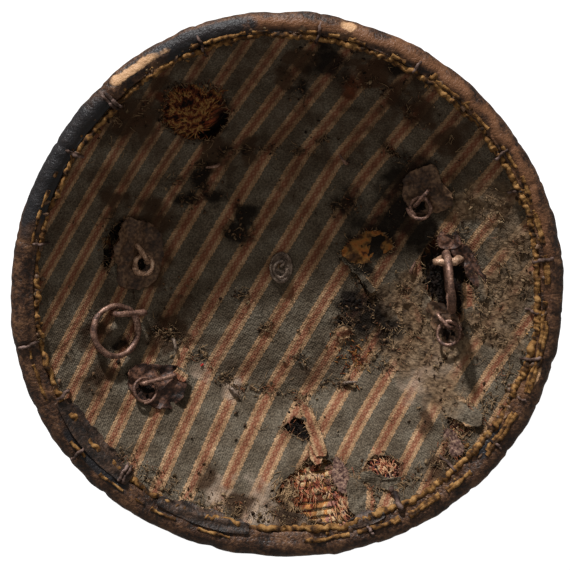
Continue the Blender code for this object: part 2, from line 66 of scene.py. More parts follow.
@dataclass(frozen=True)
class Dish:
    """The reference surface: a flat floor that turns up into a wall, slightly out of round."""

    axis: tuple[float, float] = (-2.06, 3.89)
    rim_radius: float = 190.0
    floor_radius: float = 87.0
    floor_rise: float = 3.5
    lip_radius: float = 182.0
    wall_rise: float = 48.5
    softness: float = 0.6
    lining_height: float = 18.5
    nose_radius: float = 179.9
    wall_middle: float = -5.5
    fold: float = 8.2
    wobble: tuple = ((1, 0.0299, -73.3), (2, 0.0034, -112.3), (3, 0.0085, -74.6), (4, 0.0033, 96.9))
    cord_radius: float = 173.0
    cord_off_centre: tuple[float, float] = (1.6, 90.0)

    def out_of_round(self, angle: Array) -> Array:
        """How much the wall is drawn outwards in a direction, as a share of its reach."""
        drawn = sum(share * np.cos(lobes * angle - math.radians(turn)) for lobes, share, turn in self.wobble)
        return drawn * self.rim_radius / (self.rim_radius - self.floor_radius)

    def drawn_back(self, reach: Array, angle: Array) -> Array:
        """The round dish's radius for points this far from the axis."""
        share = self.out_of_round(angle)
        return reach - np.maximum(0.0, reach - self.floor_radius) * share / (1 + share)

    def height(self, radius: Array) -> Array:
        """Height of the lining's upper face at a radius of the round dish."""
        floor = self.floor_rise * (radius / self.floor_radius) ** 2
        rise = self.wall_rise / (self.lip_radius - self.floor_radius)
        wall = self.floor_rise + rise * (radius - self.floor_radius)
        bent = np.logaddexp(floor / self.softness, wall / self.softness)
        return self.lining_height + self.softness * bent

    def section(self, radius: Array, lift: Array = 0.0, advance: Array = 0.0) -> Array:
        """Points off the face in a section.

        Args:
            radius: Radius of the foot on the face.
            lift: Distance along the face's normal, upwards.
            advance: Distance up the slope.

        Returns:
            (radius, height) in the last axis.
        """
        radius, lift, advance = (np.asarray(values, float) for values in (radius, lift, advance))
        radius, lift, advance = np.broadcast_arrays(radius, lift, advance)
        slope = np.arctan(self.height(radius + 0.5) - self.height(radius - 0.5))
        tilt = np.where(radius < 1, 0.0, slope)
        out = radius - lift * np.sin(tilt) + advance * np.cos(tilt)
        return np.stack([out, self.height(radius) + lift * np.cos(tilt) + advance * np.sin(tilt)], -1)

    def about_edge(self, distance: float, turn: float) -> Array:
        """A section point round the middle of the wall's edge, from above it (0) to below it (180)."""
        angle = math.radians(turn)
        lift, advance = distance * math.cos(angle), distance * math.sin(angle)
        return self.section(self.nose_radius, self.wall_middle + lift, advance)

    def around(self, flat: Array, angle: Array) -> Array:
        """Section points turned to an angle, with the rim's wobble.

        Args:
            flat: (radius, height) in the last axis.
            angle: Directions in radians.

        Returns:
            Points (x, y, z) in millimetres.
        """
        radius, z = flat[..., 0], flat[..., 1]
        reach = radius + self.out_of_round(angle) * np.maximum(0.0, radius - self.floor_radius)
        return np.stack(np.broadcast_arrays(reach * np.cos(angle), reach * np.sin(angle), z), -1)

    def face_height(self, x: Array, y: Array) -> Array:
        """Height of the face over a plan position."""
        return self.height(self.drawn_back(np.hypot(x, y), np.arctan2(y, x)))

    def normal(self, x: Array, y: Array) -> Array:
        """Unit normal of the face over a plan position."""
        across = self.face_height(x + 0.5, y) - self.face_height(x - 0.5, y)
        along = self.face_height(x, y + 0.5) - self.face_height(x, y - 0.5)
        normal = np.stack([-across, -along, np.ones_like(across)], -1)
        return normal / np.linalg.norm(normal, axis=-1, keepdims=True)

    def on_face(self, plan: Array, lift: Array = 0.0) -> Array:
        """Points lifted off the face over plan positions."""
        plan = np.asarray(plan, float)
        x, y, lift = np.broadcast_arrays(plan[..., 0], plan[..., 1], np.asarray(lift, float))
        return np.stack([x, y, self.face_height(x, y)], -1) + self.normal(x, y) * lift[..., None]

    def cord_at(self, angle: Array) -> Array:
        """Radius of the cord along the rim's inner edge."""
        shift, turn = self.cord_off_centre
        return self.cord_radius + shift * np.cos(angle - math.radians(turn))

    def over_rim(self, angle: float, lift: float) -> Array:
        """Section points at this lift over lining, cord and rim leather, from inside to outside."""
        cord = float(self.cord_at(angle))
        # Before the cord, up its inner side, over its top, down its outer side
        humps = ((-3.2 - lift / 2, 0.0), (-1.4, 3.4), (1.4, 3.5), (3.2, 2.9))
        rows = [self.section(155.0, lift)]
        rows += [self.section(cord + across, lift + rise) for across, rise in humps]
        rows += [self.about_edge(self.fold + lift, turn) for turn in (5.0, 45.0, 90.0)]
        return np.array(rows)

    def over_rim_between(
        self, angle: float, low: float, high: float, lift: float, count: int
    ) -> Array:
        """Evenly spaced section points of that line between two radii."""
        line = self.over_rim(angle, lift)
        radius = np.maximum.accumulate(line[:, 0] + np.arange(len(line)) * 1e-6)
        wanted = np.linspace(low, high, count)
        return np.stack([wanted, np.interp(wanted, radius, line[:, 1])], -1)


DISH = Dish()
AXIS = np.array([*DISH.axis, 0.0])


# Numbers and shapes


def lumps(points: Array, size: float, seed: int) -> Array:
    """Smooth seeded unevenness between about -1 and 1.

    Args:
        points: Positions in millimetres, one a row.
        size: Width of a lump in millimetres.
        seed: Seed of the pattern.

    Returns:
        One value a row.
    """
    rng = np.random.default_rng(seed)
    points = np.atleast_2d(points)
    directions = rng.normal(size=(11, points.shape[-1]))
    directions /= np.linalg.norm(directions, axis=1, keepdims=True)
    lengths = 2 * size * rng.uniform(0.65, 1.7, 11)
    phases = rng.uniform(0, TAU, 11)
    waves = [
        np.sin(points @ way * TAU / length + phase)
        for way, length, phase in zip(directions, lengths, phases)
    ]
    return np.clip(np.sum(waves, 0) / 4.2, -1.3, 1.3)


def shaken(points: Array, size: float, seed: int) -> Array:
    """Two such values a row, to move plan points by."""
    return np.stack([lumps(points, size, seed), lumps(points, size, seed + 1)], -1)


def polar(plan: Array) -> tuple[Array, Array]:
    """Distance from the axis and direction of plan points."""
    return np.hypot(plan[:, 0], plan[:, 1]), np.arctan2(plan[:, 1], plan[:, 0])


def away(plan: Array, x: float, y: float) -> Array:
    """Distance of plan points from one place."""
    return np.hypot(plan[:, 0] - x, plan[:, 1] - y)


def fade(distance: Array, reach: float, power: float = 2.0) -> Array:
    """One at no distance, falling to nothing past the reach; a higher power falls more steeply."""
    return np.exp(-((np.abs(distance) / reach) ** power))


def heading(degrees: float) -> Array:
    """The plan direction at an angle."""
    return np.array([math.cos(math.radians(degrees)), math.sin(math.radians(degrees))])


def smooth_line(points: Sequence[Sequence[float]], steps: int, closed: bool = False) -> Array:
    """A smooth line through points.

    Args:
        points: Places that the line passes.
        steps: Points made for each span.
        closed: Whether the line returns to its start.

    Returns:
        The line's points, one a row.
    """
    given = np.asarray(points, float)
    if closed:
        padded = np.vstack([given[-1:], given, given[:2]])
    else:
        padded = np.vstack([2 * given[0] - given[1], given, 2 * given[-1] - given[-2]])
    t = np.linspace(0, 1, steps, endpoint=False)[:, None]
    rows = []
    for a, b, c, d in zip(padded, padded[1:], padded[2:], padded[3:]):
        square, cube = 2 * a - 5 * b + 4 * c - d, 3 * b - a - 3 * c + d
        rows.append(0.5 * (2 * b + (c - a) * t + square * t**2 + cube * t**3))
    line = np.vstack(rows)
    return line if closed else np.vstack([line, given[-1:]])


def inside(points: Array, outline: Array) -> Array:
    """Which plan points lie inside a closed outline."""
    x, y = points[:, 0], points[:, 1]
    within = np.zeros(len(points), bool)
    for (x1, y1), (x2, y2) in zip(outline, np.roll(outline, -1, axis=0)):
        crosses = (y1 > y) != (y2 > y)
        within ^= crosses & (x < (x2 - x1) * (y - y1) / (y2 - y1 + 1e-12) + x1)
    return within


def to_outline(points: Array, outline: Array) -> tuple[Array, Array]:
    """Distance to a closed outline and the nearest point on it, for each plan point."""
    best = np.full(len(points), 1e9)
    nearest = points.copy()
    for start, end in zip(outline, np.roll(outline, -1, axis=0)):
        span = end - start
        share = np.clip(((points - start) @ span) / (span @ span + 1e-12), 0, 1)
        foot = start + share[:, None] * span
        distance = np.linalg.norm(points - foot, axis=1)
        closer = distance < best
        best[closer], nearest[closer] = distance[closer], foot[closer]
    return best, nearest


def deselect() -> None:
    """Clears the selection, so that the next operator acts on new geometry alone."""
    for obj in list(bpy.context.selected_objects):
        obj.select_set(False)


def activate(obj: Piece) -> None:
    """Makes an object the only selected and active one."""
    deselect()
    obj.select_set(True)
    bpy.context.view_layer.objects.active = obj


def take_new(name: str) -> Piece:
    """Names the object that was just made."""
    obj = bpy.context.active_object
    obj.name = obj.data.name = name
    return obj


def read(items: bpy.types.bpy_prop_collection, name: str, width: int = 1, kind: type = float) -> Array:
    """One value of each item, or one row of values."""
    values = np.empty(len(items) * width, kind)
    items.foreach_get(name, values)
    return values.reshape(-1, width) if width > 1 else values


def corners_of(obj: Piece) -> Array:
    """The vertex at each face corner."""
    return read(obj.data.loops, "vertex_index", kind=int)


def row_of(obj: Piece) -> Array:
    """The section point's number that a turned body keeps for each vertex."""
    return read(obj.data.attributes["row"].data, "value")


def points_of(obj: Piece) -> Array:
    """Vertex places in millimetres about the dish's axis."""
    return read(obj.data.vertices, "co", 3) / MM - AXIS


def place_points(obj: Piece, points: Array) -> None:
    """Moves the vertices to millimetre places about the dish's axis."""
    places = (points + AXIS) * MM
    obj.data.vertices.foreach_set("co", places.astype(np.float32).ravel())
    obj.data.update()


def normals_of(obj: Piece) -> Array:
    """Vertex normals of a mesh."""
    return read(obj.data.vertices, "normal", 3)


def edit(obj: Piece, *steps: Callable[[], object]) -> None:
    """Runs edit-mode operators on the whole mesh."""
    activate(obj)
    bpy.ops.object.mode_set(mode="EDIT")
    for step in steps:
        bpy.ops.mesh.select_all(action="SELECT")
        step()
    bpy.ops.object.mode_set(mode="OBJECT")


def merge_doubles() -> None:
    """Joins the selected vertices that lie in one place."""
    bpy.ops.mesh.remove_doubles(threshold=1e-6)


def weld(obj: Piece) -> None:
    """Merges doubles and turns the faces outwards."""
    edit(obj, merge_doubles, lambda: bpy.ops.mesh.normals_make_consistent(inside=False))


def apply_modifier(obj: Piece, kind: str, **settings: object) -> None:
    """Adds a modifier with its settings and applies it."""
    activate(obj)
    modifier = obj.modifiers.new(kind.lower(), kind)
    for name, value in settings.items():
        setattr(modifier, name, value)
    bpy.ops.object.modifier_apply(modifier=modifier.name)


def turned(name: str, table: Array) -> Piece:
    """A body spun round the axis whose section may change with the direction.

    Args:
        name: Name of the piece.
        table: Places in millimetres, direction by section point.

    Returns:
        The closed body, with the section point's number in the attribute "row".
    """
    steps, rows = table.shape[:2]
    deselect()
    bpy.ops.mesh.primitive_circle_add(vertices=rows, radius=0.1)
    obj = take_new(name)
    turn = TAU * np.arange(rows) / rows
    section = np.stack([0.3 + 0.1 * np.cos(turn), 0 * turn, 0.1 * np.sin(turn)], -1)
    obj.data.vertices.foreach_set("co", section.ravel())
    numbers = obj.data.attributes.new("row", "FLOAT", "POINT")
    numbers.data.foreach_set("value", np.arange(rows, dtype=float))
    spin = {"steps": steps, "angle": TAU, "center": (0, 0, 0), "axis": (0, 0, 1)}
    edit(obj, lambda: bpy.ops.mesh.spin(**spin), merge_doubles)
    angle = polar(read(obj.data.vertices, "co", 3))[1]
    step = np.round(angle / TAU * steps).astype(int) % steps
    place_points(obj, table[step, np.round(row_of(obj)).astype(int)])
    weld(obj)
    return obj


def gridded(name: str, table: Array, thickness: float) -> Piece:
    """A thin piece over a grid of places, with a wall under it.

    Args:
        name: Name of the piece.
        table: Places in millimetres, column by row.
        thickness: Wall in millimetres, grown away from the upper side.

    Returns:
        The piece with its wall.
    """
    columns, rows = table.shape[:2]
    deselect()
    bpy.ops.mesh.primitive_grid_add(x_subdivisions=columns - 1, y_subdivisions=rows - 1, size=2)
    obj = take_new(name)
    flat = (read(obj.data.vertices, "co", 3)[:, :2] + 1) / 2
    column, row = np.round(flat * (columns - 1, rows - 1)).astype(int).T
    place_points(obj, table[column, row])
    edit(obj, merge_doubles)
    if normals_of(obj)[:, 2].mean() < 0:
        edit(obj, bpy.ops.mesh.flip_normals)
    apply_modifier(obj, "SOLIDIFY", thickness=thickness * MM, offset=-1.0)
    return obj


@dataclass
class Strand:
    """One round bar or thread: its line in millimetres and its radius along it."""

    line: Array
    radius: Array | float
    closed: bool = False


def drawn(name: str, strands: Sequence[Strand], roundness: int, dents: tuple = ()) -> Piece:
    """A mesh of round bars or threads.

    Args:
        name: Name of the piece.
        strands: The bars in it.
        roundness: Curve bevel resolution, 0 for four sides.
        dents: What hammered is given, for iron and thongs.

    Returns:
        One mesh object with capped ends.
    """
    curve = bpy.data.curves.new(name, "CURVE")
    curve.dimensions = "3D"
    curve.bevel_depth = MM
    curve.bevel_resolution = roundness
    curve.use_fill_caps = True
    for strand in strands:
        line = (np.asarray(strand.line) + AXIS) * MM
        radius = np.broadcast_to(strand.radius, len(line)).astype(float)
        spline = curve.splines.new("POLY")
        spline.points.add(len(line) - 1)
        spline.points.foreach_set("co", np.insert(line, 3, 1.0, 1).ravel())
        spline.points.foreach_set("radius", radius)
        spline.use_cyclic_u = strand.closed
        spline.use_smooth = True
    obj = bpy.data.objects.new(name, curve)
    bpy.context.scene.collection.objects.link(obj)
    activate(obj)
    bpy.ops.object.convert(target="MESH")
    obj = take_new(name)
    weld(obj)
    if dents:
        hammered(obj, *dents)
    return obj


def scattered(name: str, centres: Array, sizes: Array, seed: int, flat: float = 1.0) -> Piece:
    """Copies of one small lump, each turned, stretched and dented its own way.

    Args:
        name: Name of the piece.
        centres: Places in millimetres, one a lump.
        sizes: Radius of each lump.
        seed: Seed of the chance.
        flat: Share of its height that a lump keeps.

    Returns:
        One mesh object with every lump in it.
    """
    deselect()
    bpy.ops.mesh.primitive_ico_sphere_add(subdivisions=1, radius=1.0)
    obj = take_new(name)
    ball = read(obj.data.vertices, "co", 3)
    faces = np.array([polygon.vertices[:] for polygon in obj.data.polygons])
    rng = np.random.default_rng(seed)
    count = len(centres)
    frames = np.linalg.qr(rng.normal(size=(count, 3, 3)))[0]
    frames[:, :, 0] *= np.sign(np.linalg.det(frames))[:, None]
    shape = ball[None] * (1 + rng.normal(0, 0.2, (count, len(ball), 1)))
    shape = shape * rng.uniform(0.3, 1.5, (count, 1, 3))
    places = np.einsum("nij,nvj->nvi", frames, shape) * sizes[:, None, None]
    places[:, :, 2] *= flat
    places = (places + centres[:, None]).reshape(-1, 3)
    mesh = bpy.data.meshes.new(name)
    everyone = (faces[None] + len(ball) * np.arange(count)[:, None, None]).reshape(-1, 3)
    mesh.from_pydata(np.zeros_like(places).tolist(), [], everyone.tolist())
    obj.data = mesh
    place_points(obj, places)
    return obj


def flap(name: str, outline: Plan, lift: Lift, thickness: float) -> Piece:
    """A loose thin piece within an outline in plan, standing off the dish.

    Args:
        name: Name of the piece.
        outline: Corners in plan.
        lift: Height over the face from plan points and their share of the way to the edge.
        thickness: Its thickness.

    Returns:
        The piece with its wall.
    """
    rim = smooth_line(outline, 12, closed=True)
    rim = rim + 0.5 * shaken(rim, 3.5, 111) + 0.5 * shaken(rim, 1.6, 118)
    rim = np.vstack([rim, rim[:1]])
    middle = rim[:-1].mean(0)
    share = np.linspace(0, 1, 12)
    flat = (middle + (rim - middle)[:, None] * share[None, :, None]).reshape(-1, 2)
    height = lift(flat, np.tile(share, len(rim)))
    table = DISH.on_face(flat, height).reshape(len(rim), len(share), 3)
    return gridded(name, table, thickness)


def hammered(obj: Piece, depth: float, size: float, seed: int) -> None:
    """Pushes the surface in and out a little, as forging and rust leave it."""
    points = points_of(obj)
    place_points(obj, points + normals_of(obj) * (depth * lumps(points, size, seed))[:, None])


def shade(obj: Piece, angle: float) -> None:
    """Smooth shading that keeps edges sharper than the angle."""
    activate(obj)
    bpy.ops.object.shade_smooth_by_angle(angle=math.radians(angle))


def corner_map(obj: Piece, name: str, values: Array) -> None:
    """Gives the mesh a UV map from one pair a vertex."""
    layer = obj.data.uv_layers.new(name=name)
    layer.data.foreach_set("uv", values[corners_of(obj)].astype(np.float32).ravel())


def colour_map(obj: Piece, name: str, values: Array) -> None:
    """Gives the mesh a colour attribute from up to three values a vertex."""
    layer = obj.data.color_attributes.new(name, "FLOAT_COLOR", "POINT")
    rows = np.ones((len(values), 4))
    rows[:, : values.shape[1]] = np.clip(values, 0, 1)
    layer.data.foreach_set("color", rows.astype(np.float32).ravel())


def settle(obj: Piece, slot: str, material: Material, *nodes: str, smooth: float = 0.0) -> Piece:
    """Dresses a finished piece, hangs it on the body and hides the CAD parts that it stands for.

    Args:
        obj: The piece.
        slot: The record's material slot; not used.
        material: Its finish.
        nodes: CAD nodes that it stands for.
        smooth: Edges sharper than this many degrees stay sharp; 0 leaves it faceted.

    Returns:
        The same piece.
    """
    obj.data.materials.clear()
    obj.data.materials.append(material)
    if nodes:
        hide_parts(*nodes)
    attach(obj, "root")
    if smooth:
        shade(obj, smooth)
    LOG.info("%s: %d faces", obj.name, len(obj.data.polygons))
    return obj


# Finishes


def linear(colour: str) -> tuple[float, float, float, float]:
    """An sRGB hex colour as linear red, green, blue and one."""
    parts = [int(colour[at : at + 2], 16) / 255 for at in (0, 2, 4)]
    low = [part / 12.92 if part <= 0.04045 else ((part + 0.055) / 1.055) ** 2.4 for part in parts]
    return (low[0], low[1], low[2], 1.0)


def add(
    tree: Tree,
    kind: str,
    inputs: dict,
    out: int | str = 0,
    stops: Sequence[tuple[float, str]] = (),
    **settings: object,
) -> Socket:
    """Adds one node with its settings and links.

    Args:
        tree: The material's tree.
        kind: The shader node's type.
        inputs: Values or sockets by input name or number.
        out: The output wanted.
        stops: Places and hex colours of a ramp.
        settings: The node's own settings.

    Returns:
        The wanted output socket.
    """
    node = tree.nodes.new("ShaderNode" + kind)
    for name, value in settings.items():
        setattr(node, name, value)
    if stops:
        ramp = node.color_ramp.elements
        while len(ramp) < len(stops):
            ramp.new(0.5)
        for element, (place, colour) in zip(ramp, stops):
            element.position, element.color = place, linear(colour)
    for socket, value in inputs.items():
        if isinstance(value, Socket):
            tree.links.new(value, node.inputs[socket])
        elif isinstance(value, str):
            node.inputs[socket].default_value = linear(value)
        else:
            node.inputs[socket].default_value = value
    return node.outputs[out]


@dataclass(frozen=True)
class Finish:
    """What every finish shares: a shader whose plain values stand on its own sockets."""

    name: str
    roughness: float
    metallic: float = 0.0
    gloss: float = 0.15

    def build(self) -> Material:
        """The material, with its pattern painted."""
        material = bpy.data.materials.new(self.name)
        material.use_nodes = True
        tree = material.node_tree
        shader = tree.nodes["Principled BSDF"]
        shader.inputs["Roughness"].default_value = self.roughness
        shader.inputs["Metallic"].default_value = self.metallic
        shader.inputs["Specular IOR Level"].default_value = self.gloss
        self.paint(tree, shader)
        return material

    def paint(self, tree: Tree, shader: bpy.types.Node) -> None:
        """Colours and bumps; each finish has its own."""
        raise NotImplementedError

    def grain(self, tree: Tree, size: float, detail: float = 4.0) -> Socket:
        """Noise on Object coordinates with features of this size in millimetres."""
        place = add(tree, "TexCoord", {}, "Object")
        return add(tree, "TexNoise", {"Vector": place, "Scale": 1 / (size * MM), "Detail": detail})

    def two_grains(self, tree: Tree, broad: float, fine: float) -> tuple[Socket, Socket]:
        """The sum of a broad and a fine grain, and their mean."""
        first = self.grain(tree, broad, 6.0)
        both = add(tree, "Math", {0: first, 1: self.grain(tree, fine, 8.0)}, operation="ADD")
        return both, add(tree, "Math", {0: both, 1: 0.5}, operation="MULTIPLY")

    def worn(
        self, tree: Tree, colour: Socket, ragged: Socket, steep: float, most: float, layers: Sequence
    ) -> Socket:
        """Lays worn places over a colour, with ragged outlines.

        Args:
            tree: The material's tree.
            colour: The colour under them.
            ragged: The grain that breaks their outlines.
            steep: How fast a place comes up from nothing.
            most: The share that its middle covers.
            layers: For each, its mask, where it starts and is full, and its colour.

        Returns:
            The colour with every layer on it.
        """
        for mask, low, high, tone in layers:
            total = add(tree, "Math", {0: mask, 1: ragged}, operation="ADD")
            amount = add(tree, "MapRange", {0: total, 1: low, 2: high, 4: most})
            gate = add(tree, "Math", {0: mask, 1: steep}, operation="MULTIPLY", use_clamp=True)
            amount = add(tree, "Math", {0: amount, 1: gate}, operation="MULTIPLY")
            colour = add(tree, "Mix", {0: amount, 6: colour, 7: tone}, 2, data_type="RGBA")
        return colour

    def raised(self, tree: Tree, shader: bpy.types.Node, height: Socket, depth: float) -> None:
        """Gives the shader a bump of this depth in millimetres."""
        bump = add(tree, "Bump", {"Height": height, "Distance": depth * MM})
        tree.links.new(bump, shader.inputs["Normal"])


@dataclass(frozen=True)
class StripedCloth(Finish):
    """Old striped cotton-and-silk lining: tan stripes with a red chevron line on a dark twill."""

    pitch: float = 22.6
    light_half: float = 4.9
    core_half: float = 2.2
    chevron: float = 4.4

    def paint(self, tree: Tree, shader: bpy.types.Node) -> None:
        """Stripes from the UV map, wear and painted shade from the attributes, weave as bump."""
        uv = add(tree, "UVMap", {}, uv_map="Stripes")
        across, along = (add(tree, "SeparateXYZ", {0: uv}, axis) for axis in range(2))
        # Signed distance from the middle of the nearest light stripe, in millimetres
        shifted = add(tree, "Math", {0: across, 1: 0.5}, operation="ADD")
        part = add(tree, "Math", {0: shifted}, operation="FRACT")
        signed = add(
            tree, "Math", {0: part, 1: self.pitch, 2: -self.pitch / 2}, operation="MULTIPLY_ADD"
        )
        worn = add(tree, "VertexColor", {}, layer_name="Wear")
        dirt, felt, darkened = (add(tree, "SeparateColor", {0: worn}, channel) for channel in range(3))
        stain = add(tree, "VertexColor", {}, layer_name="Stain")
        rust, dust = (add(tree, "SeparateColor", {0: stain}, channel) for channel in range(2))
        clump = self.grain(tree, 3.2, 8.0)
        stops = ((0.32, "43352a"), (0.45, "66533f"), (0.55, "7c6852"), (0.68, "8c765e"))
        matted = add(tree, "ValToRGB", {0: clump}, stops=stops)
        layers = (
            (dust, 0.75, 1.2, "a08e7e"),
            (felt, 0.7, 1.4, matted),
            (rust, 0.8, 1.25, "5c2f1a"),
            # The dirt layer also carries the painted shade towards the top
            (dirt, 0.7, 1.3, "3d2c1e"),
            (darkened, 0.6, 1.3, "150f0a"),
        )
        striped = self.striped(tree, signed, along)
        cloth = self.worn(tree, striped, self.grain(tree, 7.0, 6.0), 3.0, 0.92, layers)
        stops = ((0.28, "b4aaa0"), (0.5, "e0dad4"), (0.7, "ffffff"))
        tone = add(tree, "ValToRGB", {0: self.grain(tree, 16.0)}, stops=stops)
        mixed = {0: 1.0, 6: cloth, 7: tone}
        cloth = add(tree, "Mix", mixed, 2, data_type="RGBA", blend_type="MULTIPLY")
        tree.links.new(cloth, shader.inputs["Base Color"])
        self.raised(tree, shader, self.weave(tree, signed, along, felt, clump), 0.42)

    def striped(self, tree: Tree, signed: Socket, along: Socket) -> Socket:
        """The clean cloth's colour: ground, tan edges, and the red core with its chevron line."""
        wavy = add(tree, "Math", {0: self.grain(tree, 4.0), 1: 1.6, 2: signed}, operation="MULTIPLY_ADD")
        centred = add(tree, "Math", {0: wavy, 1: 0.8}, operation="SUBTRACT")
        off = add(tree, "Math", {0: centred}, operation="ABSOLUTE")
        # Twill steps on the stripe's edge: 1.6 mm, coarser than the thread so that they show
        step = add(tree, "Math", {0: along, 1: 1.6}, operation="PINGPONG")
        edge = add(tree, "Math", {0: step, 1: -0.4, 2: off}, operation="MULTIPLY_ADD")
        soft = {"interpolation_type": "SMOOTHSTEP"}
        light, core = self.light_half, self.core_half
        light = add(tree, "MapRange", {0: edge, 1: light - 0.7, 2: light + 0.1, 3: 1.0, 4: 0.0}, **soft)
        core = add(tree, "MapRange", {0: off, 1: core - 0.6, 2: core + 0.5, 3: 0.75, 4: 0.0}, **soft)
        zig = add(tree, "Math", {0: along, 1: self.chevron / 2}, operation="PINGPONG")
        from_zig = add(tree, "Math", {0: zig, 1: -0.7, 2: off}, operation="MULTIPLY_ADD")
        near_zig = add(tree, "Math", {0: from_zig}, operation="ABSOLUTE")
        line = add(tree, "MapRange", {0: near_zig, 1: 0.35, 2: 0.75, 3: 1.0, 4: 0.0})
        line = add(tree, "Math", {0: line, 1: core}, operation="MULTIPLY")
        # Slanting hatch of the tan edges, one thread pair every 2.2 mm
        slant = add(tree, "Math", {0: along, 1: off}, operation="ADD")
        hatch = add(tree, "Math", {0: slant, 1: 1.1}, operation="PINGPONG")
        hatch = add(tree, "Math", {0: hatch, 1: 0.4}, operation="MULTIPLY")
        fine = self.grain(tree, 1.1, 2.0)
        stops = ((0.3, "866a50"), (0.5, "ab8b6a"), (0.68, "c6a684"))
        colour = add(tree, "ValToRGB", {0: fine}, stops=stops)
        for share, tone in ((hatch, "5f4632"), (core, "8c614c"), (line, "76422f")):
            colour = add(tree, "Mix", {0: share, 6: colour, 7: tone}, 2, data_type="RGBA")
        stops = ((0.3, "433c33"), (0.5, "5e564a"), (0.72, "796f60"))
        ground = add(tree, "ValToRGB", {0: fine}, stops=stops)
        return add(tree, "Mix", {0: light, 6: ground, 7: colour}, 2, data_type="RGBA")

    def weave(self, tree: Tree, signed: Socket, along: Socket, felt: Socket, clump: Socket) -> Socket:
        """The bump's height: a weave drawn at 1.5 mm, three times the real thread, under crumbs and felt."""
        warp, weft = (
            add(tree, "Math", {0: way, 1: 0.75}, operation="PINGPONG") for way in (signed, along)
        )
        weave = add(tree, "Math", {0: warp, 1: weft}, operation="ADD")
        clean = add(tree, "Math", {0: felt, 1: -0.4, 2: 0.4}, operation="MULTIPLY_ADD")
        weave = add(tree, "Math", {0: weave, 1: clean}, operation="MULTIPLY")
        crumb = self.grain(tree, 2.4, 8.0)
        height = add(tree, "Math", {0: crumb, 1: 3.0, 2: weave}, operation="MULTIPLY_ADD")
        rough = add(tree, "Math", {0: felt, 1: clump}, operation="MULTIPLY")
        return add(tree, "Math", {0: rough, 1: 5.0, 2: height}, operation="MULTIPLY_ADD")


@dataclass(frozen=True)
class BoundCane(Finish):
    """Split cane wound with coloured silk: blocks of thread, each with its own colour."""

    stops: tuple = ()
    grime_and_shade: str = "3a2a1c"

    def paint(self, tree: Tree, shader: bpy.types.Node) -> None:
        """A colour for each block, painted shade in the grooves between coils and between threads, grime,
        near-black painted shade from the second channel, thread lines as bump.
        """
        uv = add(tree, "UVMap", {}, uv_map="Coils")
        slip = self.grain(tree, 5.0, 3.0)
        uv = add(tree, "VectorMath", {0: slip, 1: (0.5, 1.1, 0.0), 2: uv}, operation="MULTIPLY_ADD")
        whole = add(tree, "VectorMath", {0: uv}, operation="FLOOR")
        chance = add(tree, "TexWhiteNoise", {"Vector": whole}, noise_dimensions="2D")
        wear = add(tree, "VertexColor", {}, layer_name="Wear")
        # The second channel is painted shade: near black down in the hollow, the openings and under a curled
        # patch
        tint, darkened = (add(tree, "SeparateColor", {0: wear}, channel) for channel in range(2))
        chance = add(tree, "Math", {0: chance, 1: 0.34, 2: tint}, operation="MULTIPLY_ADD")
        chance = add(tree, "Math", {0: chance, 1: 0.17}, operation="SUBTRACT")
        colour = add(tree, "ValToRGB", {0: chance}, stops=self.stops)
        colour.node.color_ramp.interpolation = "CONSTANT"
        over, along = (add(tree, "SeparateXYZ", {0: uv}, axis) for axis in range(2))
        groove = add(tree, "Math", {0: over, 1: 0.5}, operation="PINGPONG")
        # Fourteen threads to a block, as many as show
        thread = add(tree, "Math", {0: along, 1: 1 / 14}, operation="PINGPONG")
        lines = add(tree, "Math", {0: thread, 1: 14.0}, operation="MULTIPLY")
        grime = self.grain(tree, 9.0, 6.0)
        # Painted shade between the threads, and below it painted shade in the grooves between coils
        between = add(tree, "MapRange", {0: lines, 1: 0.0, 2: 0.6, 3: 0.6, 4: 0.0})
        dark = add(tree, "MapRange", {0: groove, 1: 0.02, 2: 0.17, 3: 0.92, 4: 0.0})
        dirty = add(tree, "MapRange", {0: grime, 1: 0.42, 2: 0.66, 4: 0.8})
        # Tones for the painted shade between threads, the painted shade in the grooves, grime, and the
        # second channel's painted shade
        tones = (self.grime_and_shade, "120c08", self.grime_and_shade, "060403")
        for share, tone in zip((between, dark, dirty, darkened), tones):
            colour = add(tree, "Mix", {0: share, 6: colour, 7: tone}, 2, data_type="RGBA")
        tree.links.new(colour, shader.inputs["Base Color"])
        height = add(tree, "Math", {0: grime, 1: 1.5, 2: lines}, operation="MULTIPLY_ADD")
        self.raised(tree, shader, height, 0.35)


@dataclass(frozen=True)
class OldLeather(Finish):
    """Vegetable-tanned leather gone dark: creases and pores, and on the rim a paler crest, partly rubbed and
    partly painted light.
    """

    dark: str = "2c1d14"
    middle: str = "553822"
    pale: str = "8c6442"
    zones: bool = False
    relief: float = 0.2

    def paint(self, tree: Tree, shader: bpy.types.Node) -> None:
        """Mottled browns, zones of blackened and of bare skin, a pale crest that is partly painted light,
        creases as bump.
        """
        both, mean = self.two_grains(tree, 11.0, 2.2)
        stops = ((0.39, self.dark), (0.5, self.middle), (0.61, self.pale))
        colour = add(tree, "ValToRGB", {0: mean}, stops=stops)
        if self.zones:
            zone = add(tree, "VertexColor", {}, layer_name="Zones")
            grey, bare, rubbed_and_lit = (add(tree, "SeparateColor", {0: zone}, channel) for channel in range(3))
            layers = (
                # A pale crest: rubbed wear, with painted light where the key light falls
                (rubbed_and_lit, 0.82, 1.4, "6c482f"),
                (grey, 0.85, 1.2, "17171a"),
                (bare, 0.85, 1.2, "b8906a"),
            )
            colour = self.worn(tree, colour, mean, 4.0, 0.95, layers)
        tree.links.new(colour, shader.inputs["Base Color"])
        place = add(tree, "TexCoord", {}, "Object")
        cells = {"Vector": place, "Scale": 1 / (2.4 * MM)}
        crease = add(tree, "TexVoronoi", cells, feature="DISTANCE_TO_EDGE")
        crack = add(tree, "MapRange", {0: crease, 1: 0.0, 2: 0.16, 4: 0.35})
        height = add(tree, "Math", {0: both, 1: 2.2, 2: crack}, operation="MULTIPLY_ADD")
        self.raised(tree, shader, height, self.relief)


